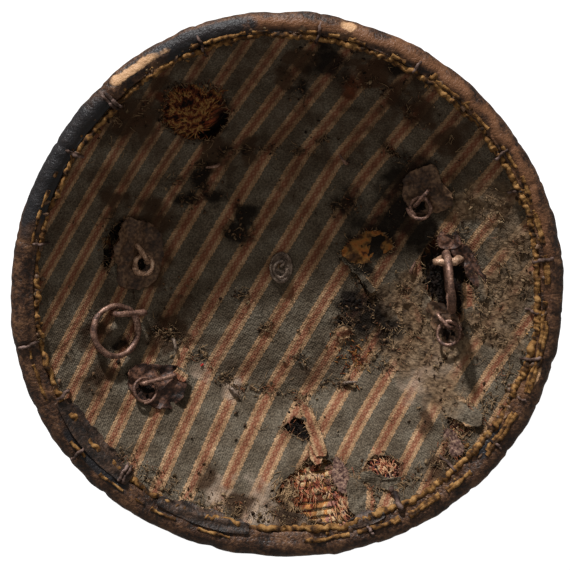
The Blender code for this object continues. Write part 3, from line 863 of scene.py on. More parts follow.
@dataclass(frozen=True)
class RustedIron(Finish):
    """Forged iron under brown rust: a dull skin, smoother where it is paler."""

    stops: tuple = ((0.36, "33241d"), (0.47, "5c4136"), (0.56, "80604f"), (0.66, "a98b7c"))

    def paint(self, tree: Tree, shader: bpy.types.Node) -> None:
        """Browns and pits from two sizes of grain."""
        both, mean = self.two_grains(tree, 5.0, 1.0)
        colour = add(tree, "ValToRGB", {0: mean}, stops=self.stops)
        tree.links.new(colour, shader.inputs["Base Color"])
        rough = add(tree, "MapRange", {0: mean, 1: 0.35, 2: 0.65, 3: 0.7, 4: 0.38})
        tree.links.new(rough, shader.inputs["Roughness"])
        self.raised(tree, shader, both, 0.3)


@dataclass(frozen=True)
class SpunFibre(Finish):
    """Cord, thong or loose thread: fibres in a few related colours, dirty in the hollows."""

    stops: tuple = ()
    patch: float = 6.0

    def paint(self, tree: Tree, shader: bpy.types.Node) -> None:
        """Patches of colour and a fibrous bump."""
        broad = self.grain(tree, self.patch, 5.0)
        colour = add(tree, "ValToRGB", {0: broad}, stops=self.stops)
        tree.links.new(colour, shader.inputs["Base Color"])
        self.raised(tree, shader, self.grain(tree, 0.9, 6.0), 0.4)


@dataclass(frozen=True)
class StudioWhite(Finish):
    """Backlit white table: it glows to the eye and takes only a faint shadow."""

    def paint(self, tree: Tree, shader: bpy.types.Node) -> None:
        """A plain white with its own light."""
        tone = add(tree, "MapRange", {0: self.grain(tree, 400.0), 3: 0.24, 4: 0.26})
        tree.links.new(tone, shader.inputs["Base Color"])
        shader.inputs["Emission Color"].default_value = (1.0, 1.0, 1.0, 1.0)
        shader.inputs["Emission Strength"].default_value = 1.0


# Colour ramps: place and colour
SILK = (
    (0.0, "a85a30"), (0.13, "8c3f28"), (0.26, "c4854c"), (0.37, "d6b488"),
    (0.5, "b98a5a"), (0.62, "a57264"), (0.75, "755460"), (0.88, "5c4040"),
)
PLAIN = ((0.0, "7a5a3a"), (0.2, "8a6a45"), (0.4, "94764e"), (0.6, "84633f"), (0.8, "7c4f30"))
YELLOW = ((0.34, "20150c"), (0.44, "4a3119"), (0.53, "72502a"), (0.64, "957145"), (0.74, "5c3e20"))
THONG = ((0.35, "1f1613"), (0.5, "48372f"), (0.66, "75615a"))
THREAD = ((0.3, "2e231a"), (0.42, "66503a"), (0.5, "937859"), (0.58, "4a3a2b"), (0.66, "7c4a30"))
HOT = ((0.34, "40221c"), (0.43, "844836"), (0.51, "9c6a4c"), (0.59, "b0906e"), (0.68, "5c4244"))
SINGED = (
    (0.36, "1a0e09"), (0.44, "5c2c1a"), (0.5, "82502a"),
    (0.56, "9c7a46"), (0.62, "6a3420"), (0.7, "33180f"),
)
FELT = ((0.34, "120d09"), (0.46, "2f2218"), (0.56, "4e3a29"), (0.7, "7a6046"))
LINT = ((0.34, "2e241a"), (0.45, "544431"), (0.55, "746048"), (0.7, "968064"))
CRUST = ((0.34, "1c120b"), (0.46, "4a3019"), (0.53, "74522a"), (0.6, "8c5628"), (0.72, "3c2013"))
FADED = ((0.36, "35231f"), (0.46, "56403a"), (0.54, "6e564a"), (0.66, "8c7260"))
BARE = ((0.36, "30251d"), (0.47, "56463a"), (0.56, "7c6a5c"), (0.66, "a89686"))
BRIGHT = ((0.36, "4a3528"), (0.47, "8a6a52"), (0.56, "b8947a"), (0.66, "dcc0a4"))
# Leathers: name, roughness, dark, middle and pale brown, depth of the creases
LEATHERS = (
    ("rim_cowhide", 0.5, "1a0f09", "3c2618", "60432d", 0.34),
    ("patch_goatskin", 0.55, "2a1c13", "4c3626", "745942", 0.12),
    ("rolled_leather", 0.55, "140c0a", "38231a", "654636", 0.2),
    ("strip_leather", 0.55, "130e0c", "2b1f18", "4a372b", 0.3),
)
# Fibres: name, roughness, ramp, size of a patch of colour in millimetres
FIBRES = (
    ("gilt_yellow_cord", 0.8, YELLOW, 5.0),
    ("rawhide_thong", 0.7, THONG, 6.0),
    ("frayed_thread", 0.95, THREAD, 9.0),
    ("loose_silk", 0.85, HOT, 5.0),
    ("singed_silk", 0.9, SINGED, 5.0),
    ("felted_crumbs", 0.95, FELT, 3.0),
    ("pale_lint", 0.95, LINT, 3.0),
    ("crusted_cloth", 0.8, CRUST, 7.0),
    ("faded_silk", 0.9, FADED, 2.0),
    # Near black for the lumps that stand for shade
    ("shade_black_lumps", 0.95, ((0.4, "0b0806"), (0.6, "1c130e")), 3.0),
    ("red_silk", 0.8, ((0.4, "7c1f1c"), (0.6, "a8322c")), 2.0),
)


@dataclass
class Finishes:
    """Every material, built once."""

    made: dict[str, Material] = field(default_factory=dict)

    def __post_init__(self) -> None:
        """Builds the set."""
        kinds: list[Finish] = [StripedCloth("striped_twill_cloth", 0.95)]
        kinds.append(StudioWhite("studio_white", 0.9))
        kinds.append(BoundCane("silk_bound_cane", 0.8, stops=SILK))
        kinds.append(BoundCane("plain_bound_cane", 0.8, stops=PLAIN))
        for name, rough, dark, middle, pale, relief in LEATHERS:
            browns = {"dark": dark, "middle": middle, "pale": pale, "relief": relief}
            kinds.append(OldLeather(name, rough, gloss=0.3, zones=name == "rim_cowhide", **browns))
        kinds.append(RustedIron("rusted_forged_iron", 0.7, 0.4, 0.5))
        kinds.append(RustedIron("bare_forged_iron", 0.7, 0.3, 0.5, stops=BARE))
        kinds.append(RustedIron("worn_bright_iron", 0.6, 0.4, 0.5, stops=BRIGHT))
        kinds += [SpunFibre(name, rough, stops=stops, patch=patch) for name, rough, stops, patch in FIBRES]
        self.made.update({kind.name: kind.build() for kind in kinds})

    def __getitem__(self, name: str) -> Material:
        """The material of this name."""
        return self.made[name]


# The pieces

# Torn openings of the lining, as outlines in plan
OUTLINES: dict[str, Plan] = {
    "upper_left": (
        (-83, 125), (-80, 132), (-74, 137), (-69, 139), (-62, 138), (-54, 133), (-47, 135),
        (-43, 130), (-40, 123), (-37, 117), (-38, 110), (-41, 104), (-47, 99), (-52, 96),
        (-59, 97), (-65, 97), (-72, 100), (-76, 104), (-83, 108), (-85, 112), (-84, 118),
    ),
    "bottom": (
        (-6, -150), (0, -143), (8, -138), (13, -133), (17, -129), (26, -129), (33, -131),
        (36, -137), (40, -144), (47, -145), (54, -147), (52, -158), (47, -167), (40, -174),
        (26, -175), (18, -171), (14, -166), (0, -164), (-7, -157),
    ),
    "lower_right": (
        (55, -137), (59, -130), (64, -126), (75, -127), (81, -131), (81, -137), (79, -142),
        (73, -145), (64, -141), (57, -138),
    ),
    "slit": ((-2, -110), (8, -103), (15, -105), (24, -115), (24, -117), (13, -118), (7, -114)),
    "wall_right": (
        (115, -92), (123, -86), (133, -93), (136, -98), (129, -106), (123, -113), (118, -119),
        (113, -122), (114, -114), (116, -107), (115, -99),
    ),
    "centre_fold": (
        (42, 11), (45, 9), (50, 6), (55, 1), (58, -4), (61, -9), (63, -14), (60, -18), (58, -14),
        (55, -9), (51, -2), (46, 4), (43, 8),
    ),
    "centre_void": ((60, -18), (63, -19), (65, -24), (62, -28), (59, -24)),
    "centre_low": ((38, -36), (41, -32), (49, -34), (49, -42), (43, -42), (39, -40)),
    "centre_side": ((67, -28), (72, -27), (73, -34), (68, -35)),
    "right_main": (
        (97, 12), (101, 21), (107, 27), (116, 31), (124, 27), (129, 19), (134, 11), (135, 1),
        (134, -13), (130, -25), (121, -29), (112, -27), (104, -20), (99, -5),
    ),
    "patch_slit": (
        (-111, 43), (-108, 39), (-113, 31), (-118, 24), (-120, 14), (-123, 7), (-126, 8),
        (-126, 20), (-126, 30), (-118, 38),
    ),
    "top_slit": ((70, 92), (76, 90), (82, 85), (82, 83), (76, 85), (71, 88)),
}
OPENINGS = {name: np.array(outline, float) for name, outline in OUTLINES.items()}
# Frayed snags where the cloth is caught along the bowl's corner and elsewhere
SNAGS: Plan = (
    (-79, -44), (-59, -59), (-41, -75), (-31, -83), (-13, -83), (12, -91), (44, -81), (72, -68),
    (79, -55), (-58, 78), (-41, 88), (-27, 88), (-8, 89), (12, 87), (27, 96), (82, 83), (-13, -40),
    (10, -62), (44, -44), (-30, -16), (-73, 68), (-65, 52), (-52, 59), (-28, 29), (37, 48),
    (47, 48), (-90, -39),
)


class Wear(Enum):
    """Kinds of wear, each with its places: plan x, plan y and radius."""

    DIRT = (
        (-93, 36, 21), (-94, 5, 18), (-81, -40, 17), (-132, -35, 11), (-102, 114, 22),
        (-85, 137, 10), (61, 146, 15), (75, 129, 14), (47, 153, 8), (93, 119, 15), (114, 98, 14),
        (10, 153, 14), (-23, 88, 10), (-54, 78, 10), (-47, 88, 14), (0, 139, 10), (-117, 56, 11),
        (-129, -69, 12), (3, -168, 15), (31, -175, 14), (-32, -158, 10), (-56, -141, 10),
        (99, -101, 10), (108, -133, 12),
    )
    FELT = (
        (148, 53, 17), (159, 25, 18), (153, -7, 19), (143, -29, 17), (129, 52, 15), (120, -52, 12),
        (150, -39, 14), (97, -40, 17), (86, -55, 17), (80, -20, 15), (110, -80, 17),
        (103, -50, 18), (163, 1, 12), (90, -25, 13), (93, -8, 9),
    )
    SOOT = (
        (65, 27, 21), (82, 41, 21), (96, 28, 14), (51, -20, 10), (58, -35, 12), (73, -42, 10),
        (88, 67, 21), (60, -28, 15), (46, -30, 9), (44, 48, 11), (-30, 29, 10), (-27, 41, 8),
        (31, 153, 14), (11, 132, 8), (78, 154, 11), (58, 5, 8), (-48, 56, 10), (-58, 68, 8),
        (-67, 53, 8), (-116, -47, 7),
    )
    STAIN = (
        (45, 135, 10), (59, 143, 10), (72, 129, 8), (-99, 113, 8), (-113, 117, 7), (-85, 126, 6),
        (86, 118, 7),
    )
    DUST = (
        (100, -75, 17), (20, -167, 22), (-20, -158, 17), (-4, -166, 15), (-46, -150, 11),
        (34, -172, 12), (110, -55, 16), (-60, -70, 9), (-36, -84, 9),
    )

    def amount(self, points: Array) -> Array:
        """How strong this wear is at plan points, from 0 to 1."""
        total = np.zeros(len(points))
        for x, y, radius in self.value:
            total = np.maximum(total, fade(away(points, x, y), radius, 2.6))
        return total


@dataclass
class Bowl:
    """The coiled cane wall under the lining, wound with thread."""

    finishes: Finishes
    pitch: float = 4.6
    groove: float = 1.1
    top: float = -1.5
    back: float = -9.5
    block: float = 5.2
    count: int = 38
    steps: int = 240
    nose: tuple = (0.0, 45.0, 90.0, 135.0, 180.0)
    # Places seen through the openings and under the curled patch edge, painted near black as shade: plan x,
    # plan y, radius
    shaded: tuple = (
        (117, 2, 36), (12, -110, 14), (-122, 14, 12), (22, -130, 7), (51, -149, 6), (62, -142, 5),
        (52, 0, 16), (45, -38, 10), (70, -30, 8), (-115, 33, 12), (76, 88, 9), (60, -24, 8),
    )
    void: Plan = ((-40, 111), (-42, 106), (-46, 101), (-52, 98), (-60, 99))

    def coils(self) -> Array:
        """Radius of the section's points along one face, four to a coil."""
        arch = np.array([0.0, 0.16, 0.5, 0.84])
        return np.concatenate([(coil + arch) * self.pitch for coil in range(self.count)])

    def table(self) -> Array:
        """Places of the whole wall, direction by section point."""
        radius = self.coils()
        across = 2 * (radius / self.pitch % 1) - 1
        hollow = self.groove * (1 - np.sqrt(np.maximum(0, 1 - across**2)))
        nose = [DISH.about_edge(4.0, turn) for turn in self.nose]
        lower = DISH.section(radius, self.back + hollow)[::-1]
        section = np.vstack([DISH.section(radius, self.top - hollow), nose, lower])
        angle = TAU * np.arange(self.steps) / self.steps
        return DISH.around(section[None], angle[:, None])

    def build(self) -> Piece:
        """The bowl with its coils, its rotten hollow painted near black as shade, and its thread blocks."""
        obj = turned("bowl_cane", self.table())
        row = row_of(obj)
        radius = self.coils()
        radii = np.concatenate([radius, np.full(len(self.nose), DISH.nose_radius), radius[::-1]])
        points = points_of(obj)
        x, y = points[:, 0], points[:, 1]
        upper = row < len(radii) / 2 - 3
        distance = np.min([away(points, *spot) for spot in smooth_line(self.void, 6)], 0)
        hollow = fade(distance, 5.5, 4) * upper
        uneven = 0.55 * lumps(points, 6.0, 3) + 0.4 * lumps(points, 3.0, 4)
        lift = np.where(upper, uneven - 0.4, 0.5 * uneven) - 4.6 * hollow
        place_points(obj, points + DISH.normal(x, y) * lift[:, None])
        tint = 0.42 + 0.3 * lumps(points, 15, 5)
        low = np.clip((x - 2) / 48, 0, 1) * 0.7 + 0.08 + 0.12 * lumps(points, 7, 6)
        tint = np.where(upper & (y < -118) & (x > -10), low, tint)
        tint = np.where(upper & (y > 90) & (x < -30), 0.16 + 0.12 * lumps(points, 7, 7), tint)
        # Painted shade: the hollow and the places under the openings go near black
        darkened = hollow
        for *spot, size in self.shaded:
            darkened = np.maximum(darkened, 0.96 * fade(away(points, *spot), size, 4) * upper)
        colour_map(obj, "Wear", np.stack([tint, darkened], -1))
        self.map_coils(obj, radii[np.round(row).astype(int)])
        settle(obj, "wicker", self.finishes["silk_bound_cane"], "shield_body", smooth=60)
        obj.data.materials.append(self.finishes["plain_bound_cane"])
        below = np.array([not upper[polygon.vertices[0]] for polygon in obj.data.polygons])
        obj.data.polygons.foreach_set("material_index", below.astype(np.int32))
        return obj

    def map_coils(self, obj: Piece, radius: Array) -> None:
        """A UV map of coil number and thread block number.

        Args:
            obj: The bowl.
            radius: Radius of each vertex on the round dish.
        """
        mesh = obj.data
        corners = corners_of(obj)
        totals = read(mesh.polygons, "loop_total", kind=int)
        owner = np.repeat(np.arange(len(totals)), totals)
        places = points_of(obj)[corners]
        centre, middle = np.zeros((len(totals), 3)), np.zeros(len(totals))
        np.add.at(centre, owner, places)
        np.add.at(middle, owner, radius[corners])
        centre, middle = centre / totals[:, None], middle / totals
        around, angle = polar(centre)[1][owner], polar(places)[1]
        angle = around + (angle - around + math.pi) % TAU - math.pi
        coil = np.floor(middle / self.pitch)[owner]
        over = np.clip(radius[corners] / self.pitch, coil + 0.001, coil + 0.999)
        blocks = np.maximum(3, np.round(TAU * (coil + 0.5) * self.pitch / self.block))
        uv = np.stack([over, (angle / TAU + 0.5) * blocks], -1)
        mesh.uv_layers.new(name="Coils").data.foreach_set("uv", uv.astype(np.float32).ravel())


@dataclass
class Lining:
    """The striped cloth stretched and glued into the bowl, torn and frayed."""

    finishes: Finishes
    cell: float = 2.0
    pitch: float = 22.6
    turn: float = -30.5
    edge: float = 176.0
    thickness: float = 0.9
    humps: tuple = (
        (-121, -35, 7.5, 5.0), (-58, -66, 5.0, 1.0), (63, 12, 16.0, 2.2), (116, 34, 7.0, 3.0),
        (40, -97, 6.0, 1.5), (-100, -20, 10.0, 1.4), (104, -101, 6.0, 2.0),
    )

    def ways(self) -> tuple[Array, Array]:
        """Plan directions across and along the stripes."""
        return heading(self.turn), heading(self.turn + 90)

    def stripes(self, plan: Array) -> Array:
        """Stripe number and millimetres along it, for plan points."""
        across, along = self.ways()
        # In decimetres, so that the numbers of the fitted curve stay readable
        side, run = plan @ across / 100, plan @ along / 100
        reach, angle = polar(plan)
        wall = np.maximum(0, reach - DISH.floor_radius) / (DISH.lip_radius - DISH.floor_radius)
        bent = angle - math.radians(self.turn)
        number = 9.40 + 4.45 * side - 0.038 * run - 0.039 * side**3
        number = number + wall * (-0.32 + 1.058 * np.cos(bent) + 0.289 * np.cos(3 * bent))
        return np.stack([number, 100 * run], -1)

    def lift_at(self, plan: Array) -> Array:
        """How far the cloth stands off the reference face."""
        lift = 0.35 * lumps(plan, 14, 11) + 0.22 * lumps(plan, 5, 12) + 0.12 * lumps(plan, 2.6, 13)
        # The cloth bridges the corner between floor and wall
        corner = fade(polar(plan)[0] - DISH.floor_radius - 1, 4)
        lift = lift + 0.5 * corner * np.clip(lumps(plan, 9, 14), 0, 1)
        for x, y, radius, rise in self.humps:
            lift = lift + rise * fade(away(plan, x, y), radius)
        for seed, outline in enumerate(OPENINGS.values(), start=20):
            curl = 1.1 + 0.9 * lumps(plan, 7, seed)
            lift = lift + curl * fade(to_outline(plan, outline)[0], 2.6, 1)
        for x, y in SNAGS:
            lift = lift + 1.1 * fade(away(plan, x, y), 4.5) * (0.5 + lumps(plan, 2.5, 40))
        felted = Wear.FELT.amount(self.roughened(plan))
        lift = lift + felted * (0.6 * lumps(plan, 8, 41) + 0.3 * lumps(plan, 3.2, 42))
        return lift + 0.5 * Wear.DIRT.amount(plan) * lumps(plan, 4, 43)

    @staticmethod
    def roughened(plan: Array) -> Array:
        """Plan points moved about, so that worn places get ragged outlines."""
        return plan + 4.0 * shaken(plan, 11, 50) + 1.8 * shaken(plan, 4, 52)

    def build(self) -> Piece:
        """The cloth, cut along its threads and stretched over the dish."""
        count = 2 * math.ceil((self.edge + self.cell) / self.cell)
        size = count * self.cell * MM
        deselect()
        bpy.ops.mesh.primitive_grid_add(x_subdivisions=count, y_subdivisions=count, size=size)
        obj = take_new("lining_cloth")
        self.cut(obj)
        plan = points_of(obj)[:, :2]
        inward = (self.edge - 2 - DISH.drawn_back(*polar(plan))) / 6
        lift = self.lift_at(plan) * np.clip(inward, 0, 1)
        place_points(obj, DISH.on_face(plan, lift))
        apply_modifier(obj, "SOLIDIFY", thickness=self.thickness * MM, offset=-1.0)
        self.dress(obj, 1.0)
        corner_map(obj, "Stripes", self.stripes(points_of(obj)[:, :2]))
        return settle(obj, "lining_cloth", self.finishes["striped_twill_cloth"], "lining", smooth=60)

    def cut(self, obj: Piece) -> None:
        """Turns the grid to the stripes, fits it to its edge and openings, and cuts them out."""
        flat = (points_of(obj) + AXIS)[:, :2]
        across, along = self.ways()
        plan = flat[:, :1] * across + flat[:, 1:] * along
        reach, angle = polar(plan)
        radius = DISH.drawn_back(reach, angle)
        near_edge = np.abs(radius - self.edge) < 0.7 * self.cell
        to_edge = self.edge * reach / np.maximum(radius, 1) / np.maximum(reach, 1)
        plan = np.where(near_edge[:, None], plan * to_edge[:, None], plan)
        for outline in OPENINGS.values():
            distance, foot = to_outline(plan, outline)
            plan = np.where((distance < 0.55 * self.cell)[:, None], foot, plan)
        place_points(obj, np.insert(plan, 2, 0.0, 1))
        centres = plan[corners_of(obj)].reshape(-1, 4, 2).mean(1)
        gone = DISH.drawn_back(*polar(centres)) > self.edge
        for outline in OPENINGS.values():
            gone |= inside(centres, outline)
        activate(obj)
        obj.data.polygons.foreach_set("select", gone)
        bpy.context.tool_settings.mesh_select_mode = (False, False, True)
        bpy.ops.object.mode_set(mode="EDIT")
        bpy.ops.mesh.delete(type="FACE")
        bpy.ops.object.mode_set(mode="OBJECT")
        bpy.context.tool_settings.mesh_select_mode = (True, False, False)

    def dress(self, obj: Piece, torn: float) -> None:
        """Gives cloth its wear, its darker places and its painted shade.

        Args:
            obj: The piece of cloth.
            torn: Share of the dark edges at the tears.
        """
        plan = points_of(obj)[:, :2]
        x, y = plan.T
        rough = self.roughened(plan)
        darkened = np.maximum(Wear.SOOT.amount(rough), torn * self.near_tears(plan))
        # A grey film that thickens upwards and a little to the left, painted shade deepening the shadow
        # under the upper rim; the floor also darkens in a band low down
        upper_shade = np.interp(y, (0, 45, 100, 170), (0.0, 0.22, 0.36, 0.42)) + 0.16 * lumps(plan, 15, 54)
        upper_shade = upper_shade + np.interp(x, (-170, -100, 0), (0.05, 0.02, 0.0))
        low = (y < -15) * fade(polar(plan)[0] - 74, 12)
        # The dirt channel carries both the real dirt and this painted shade
        dirt = np.maximum(Wear.DIRT.amount(rough), upper_shade + 0.44 * low)
        colour_map(obj, "Wear", np.stack([dirt, Wear.FELT.amount(rough), darkened], -1))
        stain = [Wear.STAIN.amount(rough), 0.75 * Wear.DUST.amount(rough)]
        colour_map(obj, "Stain", np.stack(stain, -1))

    def flaps(self) -> list[Piece]:
        """Loose tongues of cloth round the openings, each free along one side."""
        made = []
        for name, base, free, rise, shift, outline in FLAPS:
            towards = heading(free)
            middle = np.mean(outline, 0)

            def lift(plan: Array, share: Array) -> Array:
                """Rises towards the free side, with small folds."""
                ahead = (plan - middle) @ towards
                side = np.clip(ahead / max(3.0, np.abs(ahead).max()), -1, 1)
                fold = 0.8 * lumps(plan, 5, 31) + 0.4 * lumps(plan, 2.6, 32)
                return base + rise * (0.5 + 0.5 * side) ** 1.5 + fold + 0.6 * share**6 * lumps(plan, 3, 33)

            obj = flap(f"cloth_flap_{name}", outline, lift, 0.8)
            self.dress(obj, 0.25)
            # Cloth tears along its threads, so the stripes run along the flap
            offset = points_of(obj)[:, :2] - middle
            own = np.linalg.svd(outline - middle)[2]
            number = offset @ own[1] / self.pitch + shift
            corner_map(obj, "Stripes", np.stack([number, offset @ own[0]], -1))
            kind = OTHER_STUFF.get(name, "striped_twill_cloth")
            settle(obj, "lining_cloth", self.finishes[kind], smooth=60)
            made.append(obj)
        return made

    def near_tears(self, plan: Array) -> Array:
        """Dark edges round the openings and snags."""
        total = np.zeros(len(plan))
        for outline in OPENINGS.values():
            total = np.maximum(total, 0.55 * fade(to_outline(plan, outline)[0], 3.0, 1))
        for x, y in SNAGS:
            total = np.maximum(total, 0.75 * fade(away(plan, x, y), 4.0))
        return total

    def frays(self, rng: np.random.Generator) -> Piece:
        """Broken threads round the openings and flaps, a tuft in the bottom opening, and tufts at the snags.
        """
        across, along = self.ways()
        threads: list[Strand] = []
        for outline in OPENINGS.values():
            rim = smooth_line(outline, 6, closed=True)
            for spot in rim[rng.random(len(rim)) < 0.8]:
                way = (along if rng.random() < 0.6 else across) * rng.choice([-1, 1])
                if way @ (rim.mean(0) - spot) < 0:
                    way = -way
                way = way + rng.normal(0, 0.35, 2)
                threads.append(self.thread(rng, spot - way * 0.8, way, rng.uniform(2, 6.5), 0.26))
        for *_about, outline in FLAPS:
            rim = smooth_line(outline, 5, closed=True)
            for spot in rim:
                way = spot - rim.mean(0) + rng.normal(0, 3.0, 2)
                start = spot - way * 0.05
                threads.append(self.thread(rng, start, way, rng.uniform(1.5, 4.0), 0.24, 1.8))
        threads += self.tuft(rng, 170, (2.0, -152.0), (4.5, 6.5), (-0.3, -1.0), 0.5, (4, 8), (0.3,), 0.2)
        for spot in SNAGS:
            for _ in range(7):
                start = spot + rng.normal(0, 3.0, 2)
                way = across * rng.choice([-1, 1]) + rng.normal(0, 0.5, 2)
                threads.append(self.thread(rng, start, way, rng.uniform(2.0, 6.0), 0.24))
        frays = drawn("lining_frays", threads, 0)
        return settle(frays, "lining_cloth", self.finishes["frayed_thread"])

    def loose_silk(self, rng: np.random.Generator) -> None:
        """Binding threads that have come off the coils and lie in the lower openings."""
        silk: list[Strand] = []
        for _ in range(80):
            spot = (14.0, -146.5) + rng.uniform(-1, 1, 2) * (19.0, 8.5)
            way = (0.15, -1.0) + rng.normal(0, 0.3, 2)
            length, radius = rng.uniform(4, 8), rng.uniform(0.35, 0.6)
            silk.append(self.thread(rng, spot - way * 2, way, length, radius, -1.1))
        silk += self.tuft(rng, 110, (42.0, -153.0), (5.0, 7.0), (0.45, -1.0), 0.3, (5, 9), (0.35, 0.6), 0)
        for name, count in (("lower_right", 80), ("wall_right", 40)):
            outline = OPENINGS[name]
            spots = rng.uniform(outline.min(0), outline.max(0), (count * 2, 2))
            for spot in spots[inside(spots, outline)][:count]:
                out = spot / np.linalg.norm(spot)
                way = out * rng.choice([-1, 1]) + rng.normal(0, 0.5, 2)
                length, radius = rng.uniform(3, 6), rng.uniform(0.4, 0.75)
                silk.append(self.thread(rng, spot, way, length, radius, -0.8))
        settle(drawn("loose_silk_threads", silk, 0), "wicker", self.finishes["loose_silk"])

    def singed_fan(self, rng: np.random.Generator) -> None:
        """The dense brush of broken binding threads that bulges from the upper left opening."""
        strands = []
        middle, half, root = np.array([[-62.0, 119.5], [21.0, 18.0], [-60.0, 104.0]])
        # The brush is thin towards the lower right of the opening
        thin = np.array([0.9, -0.44])
        for _ in range(460):
            turn, share = rng.uniform(0, TAU), math.sqrt(rng.uniform(0.0, 1.0))
            out = heading(math.degrees(turn))
            if 0.6 < share and out @ thin > 0.75:
                continue
            start = middle + out * share * half
            way = start - root
            way = way / (np.linalg.norm(way) + 4) + rng.normal(0, 0.28, 2)
            rise = 1.8 * (1 - share**2) - 0.6
            length, radius = rng.uniform(5, 10), rng.uniform(0.4, 0.66)
            strands.append(self.thread(rng, start - way * 4, way, length, radius, rise))
        strands += self.tuft(rng, 70, (50.0, -60.0), (6.0, 8.0), (0, 0), 1.0, (2, 5), (0.25, 0.45), 0.4)
        settle(drawn("singed_thread_fan", strands, 0), "wicker", self.finishes["singed_silk"])

    def tuft(
        self,
        rng: np.random.Generator,
        count: int,
        middle: tuple[float, float],
        spread: tuple[float, float],
        way: tuple[float, float],
        unruly: float,
        lengths: tuple[float, float],
        radii: tuple,
        lift: float,
    ) -> list[Strand]:
        """A bunch of threads that point about one way.

        Args:
            rng: Source of chance.
            count: How many.
            middle: Its middle in plan.
            spread: How far they start from it, each way.
            way: Their direction in plan.
            unruly: How far each one strays from it.
            lengths: Shortest and longest.
            radii: Thinnest and thickest, halved, or one for all.
            lift: Height of their fixed ends over the face.

        Returns:
            The threads.
        """
        made = []
        for _ in range(count):
            start = middle + rng.normal(0, 1, 2) * spread
            aim = way + rng.normal(0, unruly, 2)
            length = rng.uniform(*lengths)
            radius = rng.uniform(*radii) if len(radii) > 1 else radii[0]
            made.append(self.thread(rng, start, aim, length, radius, lift))
        return made

    @staticmethod
    def thread(
        rng: np.random.Generator,
        start: Array,
        way: Array,
        length: float,
        radius: float,
        lift: float = 0.3,
    ) -> Strand:
        """One short curled thread lying on the dish.

        Args:
            rng: Source of chance.
            start: Its fixed end in plan.
            way: Its direction in plan.
            length: Its length.
            radius: Its thickness, halved.
            lift: Height of its fixed end over the face.

        Returns:
            The thread.
        """
        way = way / (np.linalg.norm(way) + 1e-9)
        side = np.array([-way[1], way[0]]) * rng.normal(0, 0.35)
        share = np.linspace(0, 1, 5)
        plan = start + np.outer(share * length, way) + np.outer(share**2 * length, side)
        heights = lift + share * rng.uniform(0.3, 2.0) - share**2 * rng.uniform(0.0, 1.6)
        return Strand(DISH.on_face(plan, heights), radius * (1.1 - 0.6 * share))


# Loose cloth: name, base height, direction of the free side, its rise, stripe shift, outline
FLAPS = (
    ("centre_crust", 0.9, 215.0, 2.6, 0.0,
     ((42, 14), (46, 21), (54, 27), (64, 30), (73, 27), (78, 19), (73, 12), (64, 8), (56, 6), (48, 8))),
    ("fold_edge", 1.2, 225.0, 3.4, 0.3,
     ((39, 13), (46, 12), (52, 6), (59, -2), (65, -12), (62, -14), (56, -6), (50, 1), (44, 8))),
    ("centre_scrap", 0.7, 140.0, 2.6, 0.5,
     ((68, -20), (76, -24), (84, -33), (80, -41), (72, -40), (65, -33))),
    ("centre_curl", 1.0, 80.0, 3.4, 0.0,
     ((38, -42), (44, -38), (49, -43), (46, -47), (40, -48))),
    ("slit_tongue", 1.6, -60, 3.0, 0.0,
     ((12, -97), (18, -95), (23, -104), (27, -114), (30, -127), (22, -128), (19, -117), (15, -107))),
    ("slit_curl", 1.4, 250.0, 3.2, 0.0,
     ((18, -122), (24, -122), (28, -127), (25, -134), (20, -132), (18, -127))),
    ("main_lump", 1.5, -90.0, 4.5, 0.0,
     ((109, 29), (114, 34), (122, 32), (124, 24), (117, 20), (110, 22))),
    ("main_ridge", 1.2, 200.0, 4.0, 0.5,
     ((120, 27), (128, 23), (134, 15), (138, 6), (142, 1),
      (139, -7), (131, -2), (128, 6), (123, 12), (119, 19))),
    ("main_strip", 1.0, 180.0, 3.6, 0.0,
     ((126, -4), (132, -7), (135, -15), (132, -27), (126, -29), (127, -15))),
    ("main_left", 0.9, 30.0, 3.0, 0.5,
     ((99, -14), (104, -17), (108, -26), (103, -33), (98, -27))),
    ("bottom_fringe", 0.9, 170.0, 3.4, 0.3,
     ((52, -146), (60, -149), (63, -158), (59, -166), (52, -170), (48, -163), (50, -154))),
    ("small_fold", 0.9, 90.0, 3.0, 0.5,
     ((54, -139), (62, -138), (73, -142), (82, -141), (79, -148), (67, -148), (57, -144))),
    ("bottom_purple", 0.8, 200.0, 3.0, 0.0,
     ((37, -129), (43, -134), (47, -143), (43, -152), (36, -148), (34, -138))),
    ("bottom_tan", 0.9, 180.0, 3.2, 0.4,
     ((46, -142), (54, -144), (60, -152), (58, -161), (52, -166), (44, -160))),
    ("wall_upper", 0.9, -90.0, 3.4, 0.5,
     ((112, -90), (122, -84), (129, -86), (137, -92), (138, -101), (129, -103), (121, -99), (115, -97))),
    ("wall_lower", 0.8, 30.0, 2.6, 0.45,
     ((113, -106), (121, -110), (126, -119), (119, -125), (112, -116))),
    ("staple_cover", 5.0, 140, 2.0, 0.0,
     ((-79, -69), (-74, -67), (-69, -71), (-71, -76), (-77, -75))),
    ("right_scrap", 0.9, 200.0, 2.8, 0.5,
     ((126, -7), (134, -13), (137, -28), (131, -33), (126, -20))),
    ("right_curl", 1.0, 10.0, 2.8, 0.35,
     ((133, 3), (143, -7), (139, -18), (133, -12))),
    ("low_curl", 0.8, 60.0, 2.2, 0.2,
     ((88, -18), (98, -29), (96, -42), (87, -38), (85, -27))),
)
# Loose pieces that aren't striped cloth
OTHER_STUFF = {
    "centre_crust": "crusted_cloth",
    "main_lump": "rolled_leather",
    "main_ridge": "rolled_leather",
    "bottom_purple": "faded_silk",
    "wall_lower": "faded_silk",
}
